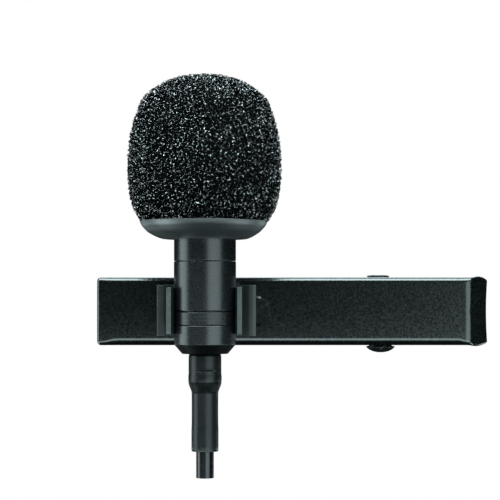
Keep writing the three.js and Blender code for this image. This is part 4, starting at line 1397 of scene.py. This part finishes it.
# ------------------------------------------------------------------ riding
# piece, the body it rides, the CAD node it replaces, its material slot
RIDES = [(piece, "windscreen", "foam_windscreen", "windscreen_foam") for piece in foam] + [
    (front_plate, "clip_bar", "front_plate", "clip_paint"),
    (rear_jaw, "jaw", "rear_jaw", "clip_paint"),
    (cradle, "cradle", "mic_cradle", "clip_paint"),
    (pin, "clip_bar", "hinge_pin", "pin_black"),
    (rivet, "clip_bar", "cradle_rivet", "pin_black"),
    (washer, "clip_bar", "cradle_washer", "spring_steel"),
    (grille, "mic", "head_grille", "spring_steel"),
    (foam_core, "windscreen", "foam_windscreen", "windscreen_foam"),
    (collar, "windscreen", "windscreen_collar", "collar_rubber"),
    (head_shell, "mic", "head_shell", "mic_shell"),
    (main_barrel, "mic", "main_barrel", "mic_shell"),
    (rear_cap, "mic", "rear_cap", "mic_shell"),
    (ribbed_ring, "mic_carrier", "ribbed_ring", "mic_shell"),
    (strain_boot, "mic", "strain_relief_boot", "boot_rubber"),
    (cable, "mic", "cable_jacket", "cable_jacket")]
for piece, body, node, slot in RIDES:
    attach(piece, body)
    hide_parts(node)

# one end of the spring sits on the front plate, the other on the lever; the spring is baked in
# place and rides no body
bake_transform(spring)
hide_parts("torsion_spring")

# finishes of the CAD pieces that are kept
NODE_FINISH = {
    "felt_disc": FELT, "capsule_boot": DARK_RUBBER, "capsule_can": ALUMINIUM,
    "diaphragm": FILM, "diaphragm_spacer": PLASTIC, "backplate": COPPER,
    "backplate_holder": PLASTIC, "capsule_board": BOARD, "jfet": CHIP, "signal_lead": RED,
    "ground_lead": CHIP, "termination_board": BOARD, "emi_capacitor_a": PLASTIC,
    "emi_capacitor_b": PLASTIC, "cable_crimp": BRASS, "cable_shield": COPPER,
    "conductor_red": RED, "core_red": COPPER, "conductor_white": WHITE, "core_white": COPPER}
for node, material in NODE_FINISH.items():
    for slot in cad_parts[node].material_slots:
        slot.material = material

# ------------------------------------------------------------------ studio
LIGHT_COLOUR = (0.80, 1.0, 1.03)
LIGHT_TARGET = Vector((0.006, -0.008, 0.002))
LIGHT_DISTANCE = 0.6
# soft boxes: azimuth from the front (-Y) towards +X, elevation, width and height as seen from
# the target, all in degrees, then radiance
LIGHTS = [
    ("left_strip", -86, 2, 36, 80, 3.5),
    ("low_left", -82, -38, 40, 24, 6.2),
    ("front_right", 37, -6, 50, 44, 2.7),
    ("top", 0, 68, 90, 44, 13.5),
    ("low_front", 0, -26, 84, 22, 4.4),
    ("low_right", 84, -36, 40, 24, 5.2),
    ("back_low_left", -138, -15, 24, 12, 2.6),
    ("back_low_right", 136, -16, 28, 14, 3.4),
    ("back_high", 180, 42, 60, 36, 4.0)]


def area_light(name, azimuth, elevation, width, height, radiance):
    data = bpy.data.lights.new(name, "AREA")
    data.shape = "RECTANGLE"
    data.size = 2 * LIGHT_DISTANCE * math.tan(math.radians(width / 2))
    data.size_y = 2 * LIGHT_DISTANCE * math.tan(math.radians(height / 2))
    data.energy = radiance * math.pi * data.size * data.size_y
    data.color = LIGHT_COLOUR
    ob = bpy.data.objects.new(name, data)
    a, e = math.radians(azimuth), math.radians(elevation)
    towards = Vector((math.sin(a) * math.cos(e), -math.cos(a) * math.cos(e), math.sin(e)))
    where = LIGHT_TARGET + LIGHT_DISTANCE * towards
    ob.location = where
    ob.rotation_euler = (LIGHT_TARGET - where).to_track_quat("-Z", "Y").to_euler()
    ob.visible_camera = False
    bpy.context.scene.collection.objects.link(ob)


def build_world():
    """White to the camera, nearly black to everything else."""
    world = bpy.data.worlds.new("studio")
    bpy.context.scene.world = world
    world.use_nodes = True
    nodes, links = world.node_tree.nodes, world.node_tree.links
    nodes.clear()
    out = nodes.new("ShaderNodeOutputWorld")
    path = nodes.new("ShaderNodeLightPath")
    white = nodes.new("ShaderNodeBackground")
    dim = nodes.new("ShaderNodeBackground")
    mixer = nodes.new("ShaderNodeMixShader")
    white.inputs["Color"].default_value = (1, 1, 1, 1)
    dim.inputs["Color"].default_value = (0.004, 0.0042, 0.0044, 1)
    links.new(path.outputs["Is Camera Ray"], mixer.inputs[0])
    links.new(dim.outputs[0], mixer.inputs[1])
    links.new(white.outputs[0], mixer.inputs[2])
    links.new(mixer.outputs[0], out.inputs[0])


def build_floor():
    """A wide floor that looks white to the camera."""
    mat = bpy.data.materials.new("floor")
    mat.use_nodes = True
    nodes, links = mat.node_tree.nodes, mat.node_tree.links
    bsdf = nodes["Principled BSDF"]
    white = nodes.new("ShaderNodeEmission")
    path = nodes.new("ShaderNodeLightPath")
    mixer = nodes.new("ShaderNodeMixShader")
    white.inputs["Color"].default_value = (1, 1, 1, 1)
    bsdf.inputs["Base Color"].default_value = (0.12, 0.12, 0.12, 1)
    bsdf.inputs["Roughness"].default_value = 1.0
    bsdf.inputs["Specular IOR Level"].default_value = 0.0
    links.new(path.outputs["Is Camera Ray"], mixer.inputs[0])
    links.new(bsdf.outputs[0], mixer.inputs[1])
    links.new(white.outputs[0], mixer.inputs[2])
    links.new(mixer.outputs[0], nodes["Material Output"].inputs[0])
    reach, level = 2500, -60
    corners = [(-reach, -reach, level), (reach, -reach, level), (reach, reach, level),
               (-reach, reach, level)]
    floor = polygon_object("studio_floor", corners, [(0, 1, 2, 3)], mat, smooth=False)
    # the floor is only seen: the lights below it reach the object
    floor.visible_shadow = floor.visible_diffuse = False
    floor.visible_glossy = floor.visible_transmission = False


def build_camera():
    """A camera in front, looking along +Y."""
    data = bpy.data.cameras.new("camera")
    camera = bpy.data.objects.new("camera", data)
    bpy.context.scene.collection.objects.link(camera)
    camera.location = (0.0104, -0.2259, 0.00142)
    camera.rotation_euler = (math.radians(90), 0, 0)
    data.sensor_width = 36
    data.lens = 129.6
    data.shift_x, data.shift_y = -0.0833, 0.0994
    data.clip_start, data.clip_end = 0.001, 20
    bpy.context.scene.camera = camera


for light in LIGHTS:
    area_light(*light)
build_world()
build_floor()
build_camera()
bpy.context.scene.view_settings.view_transform = "Standard"
bpy.context.scene.view_settings.look = "None"
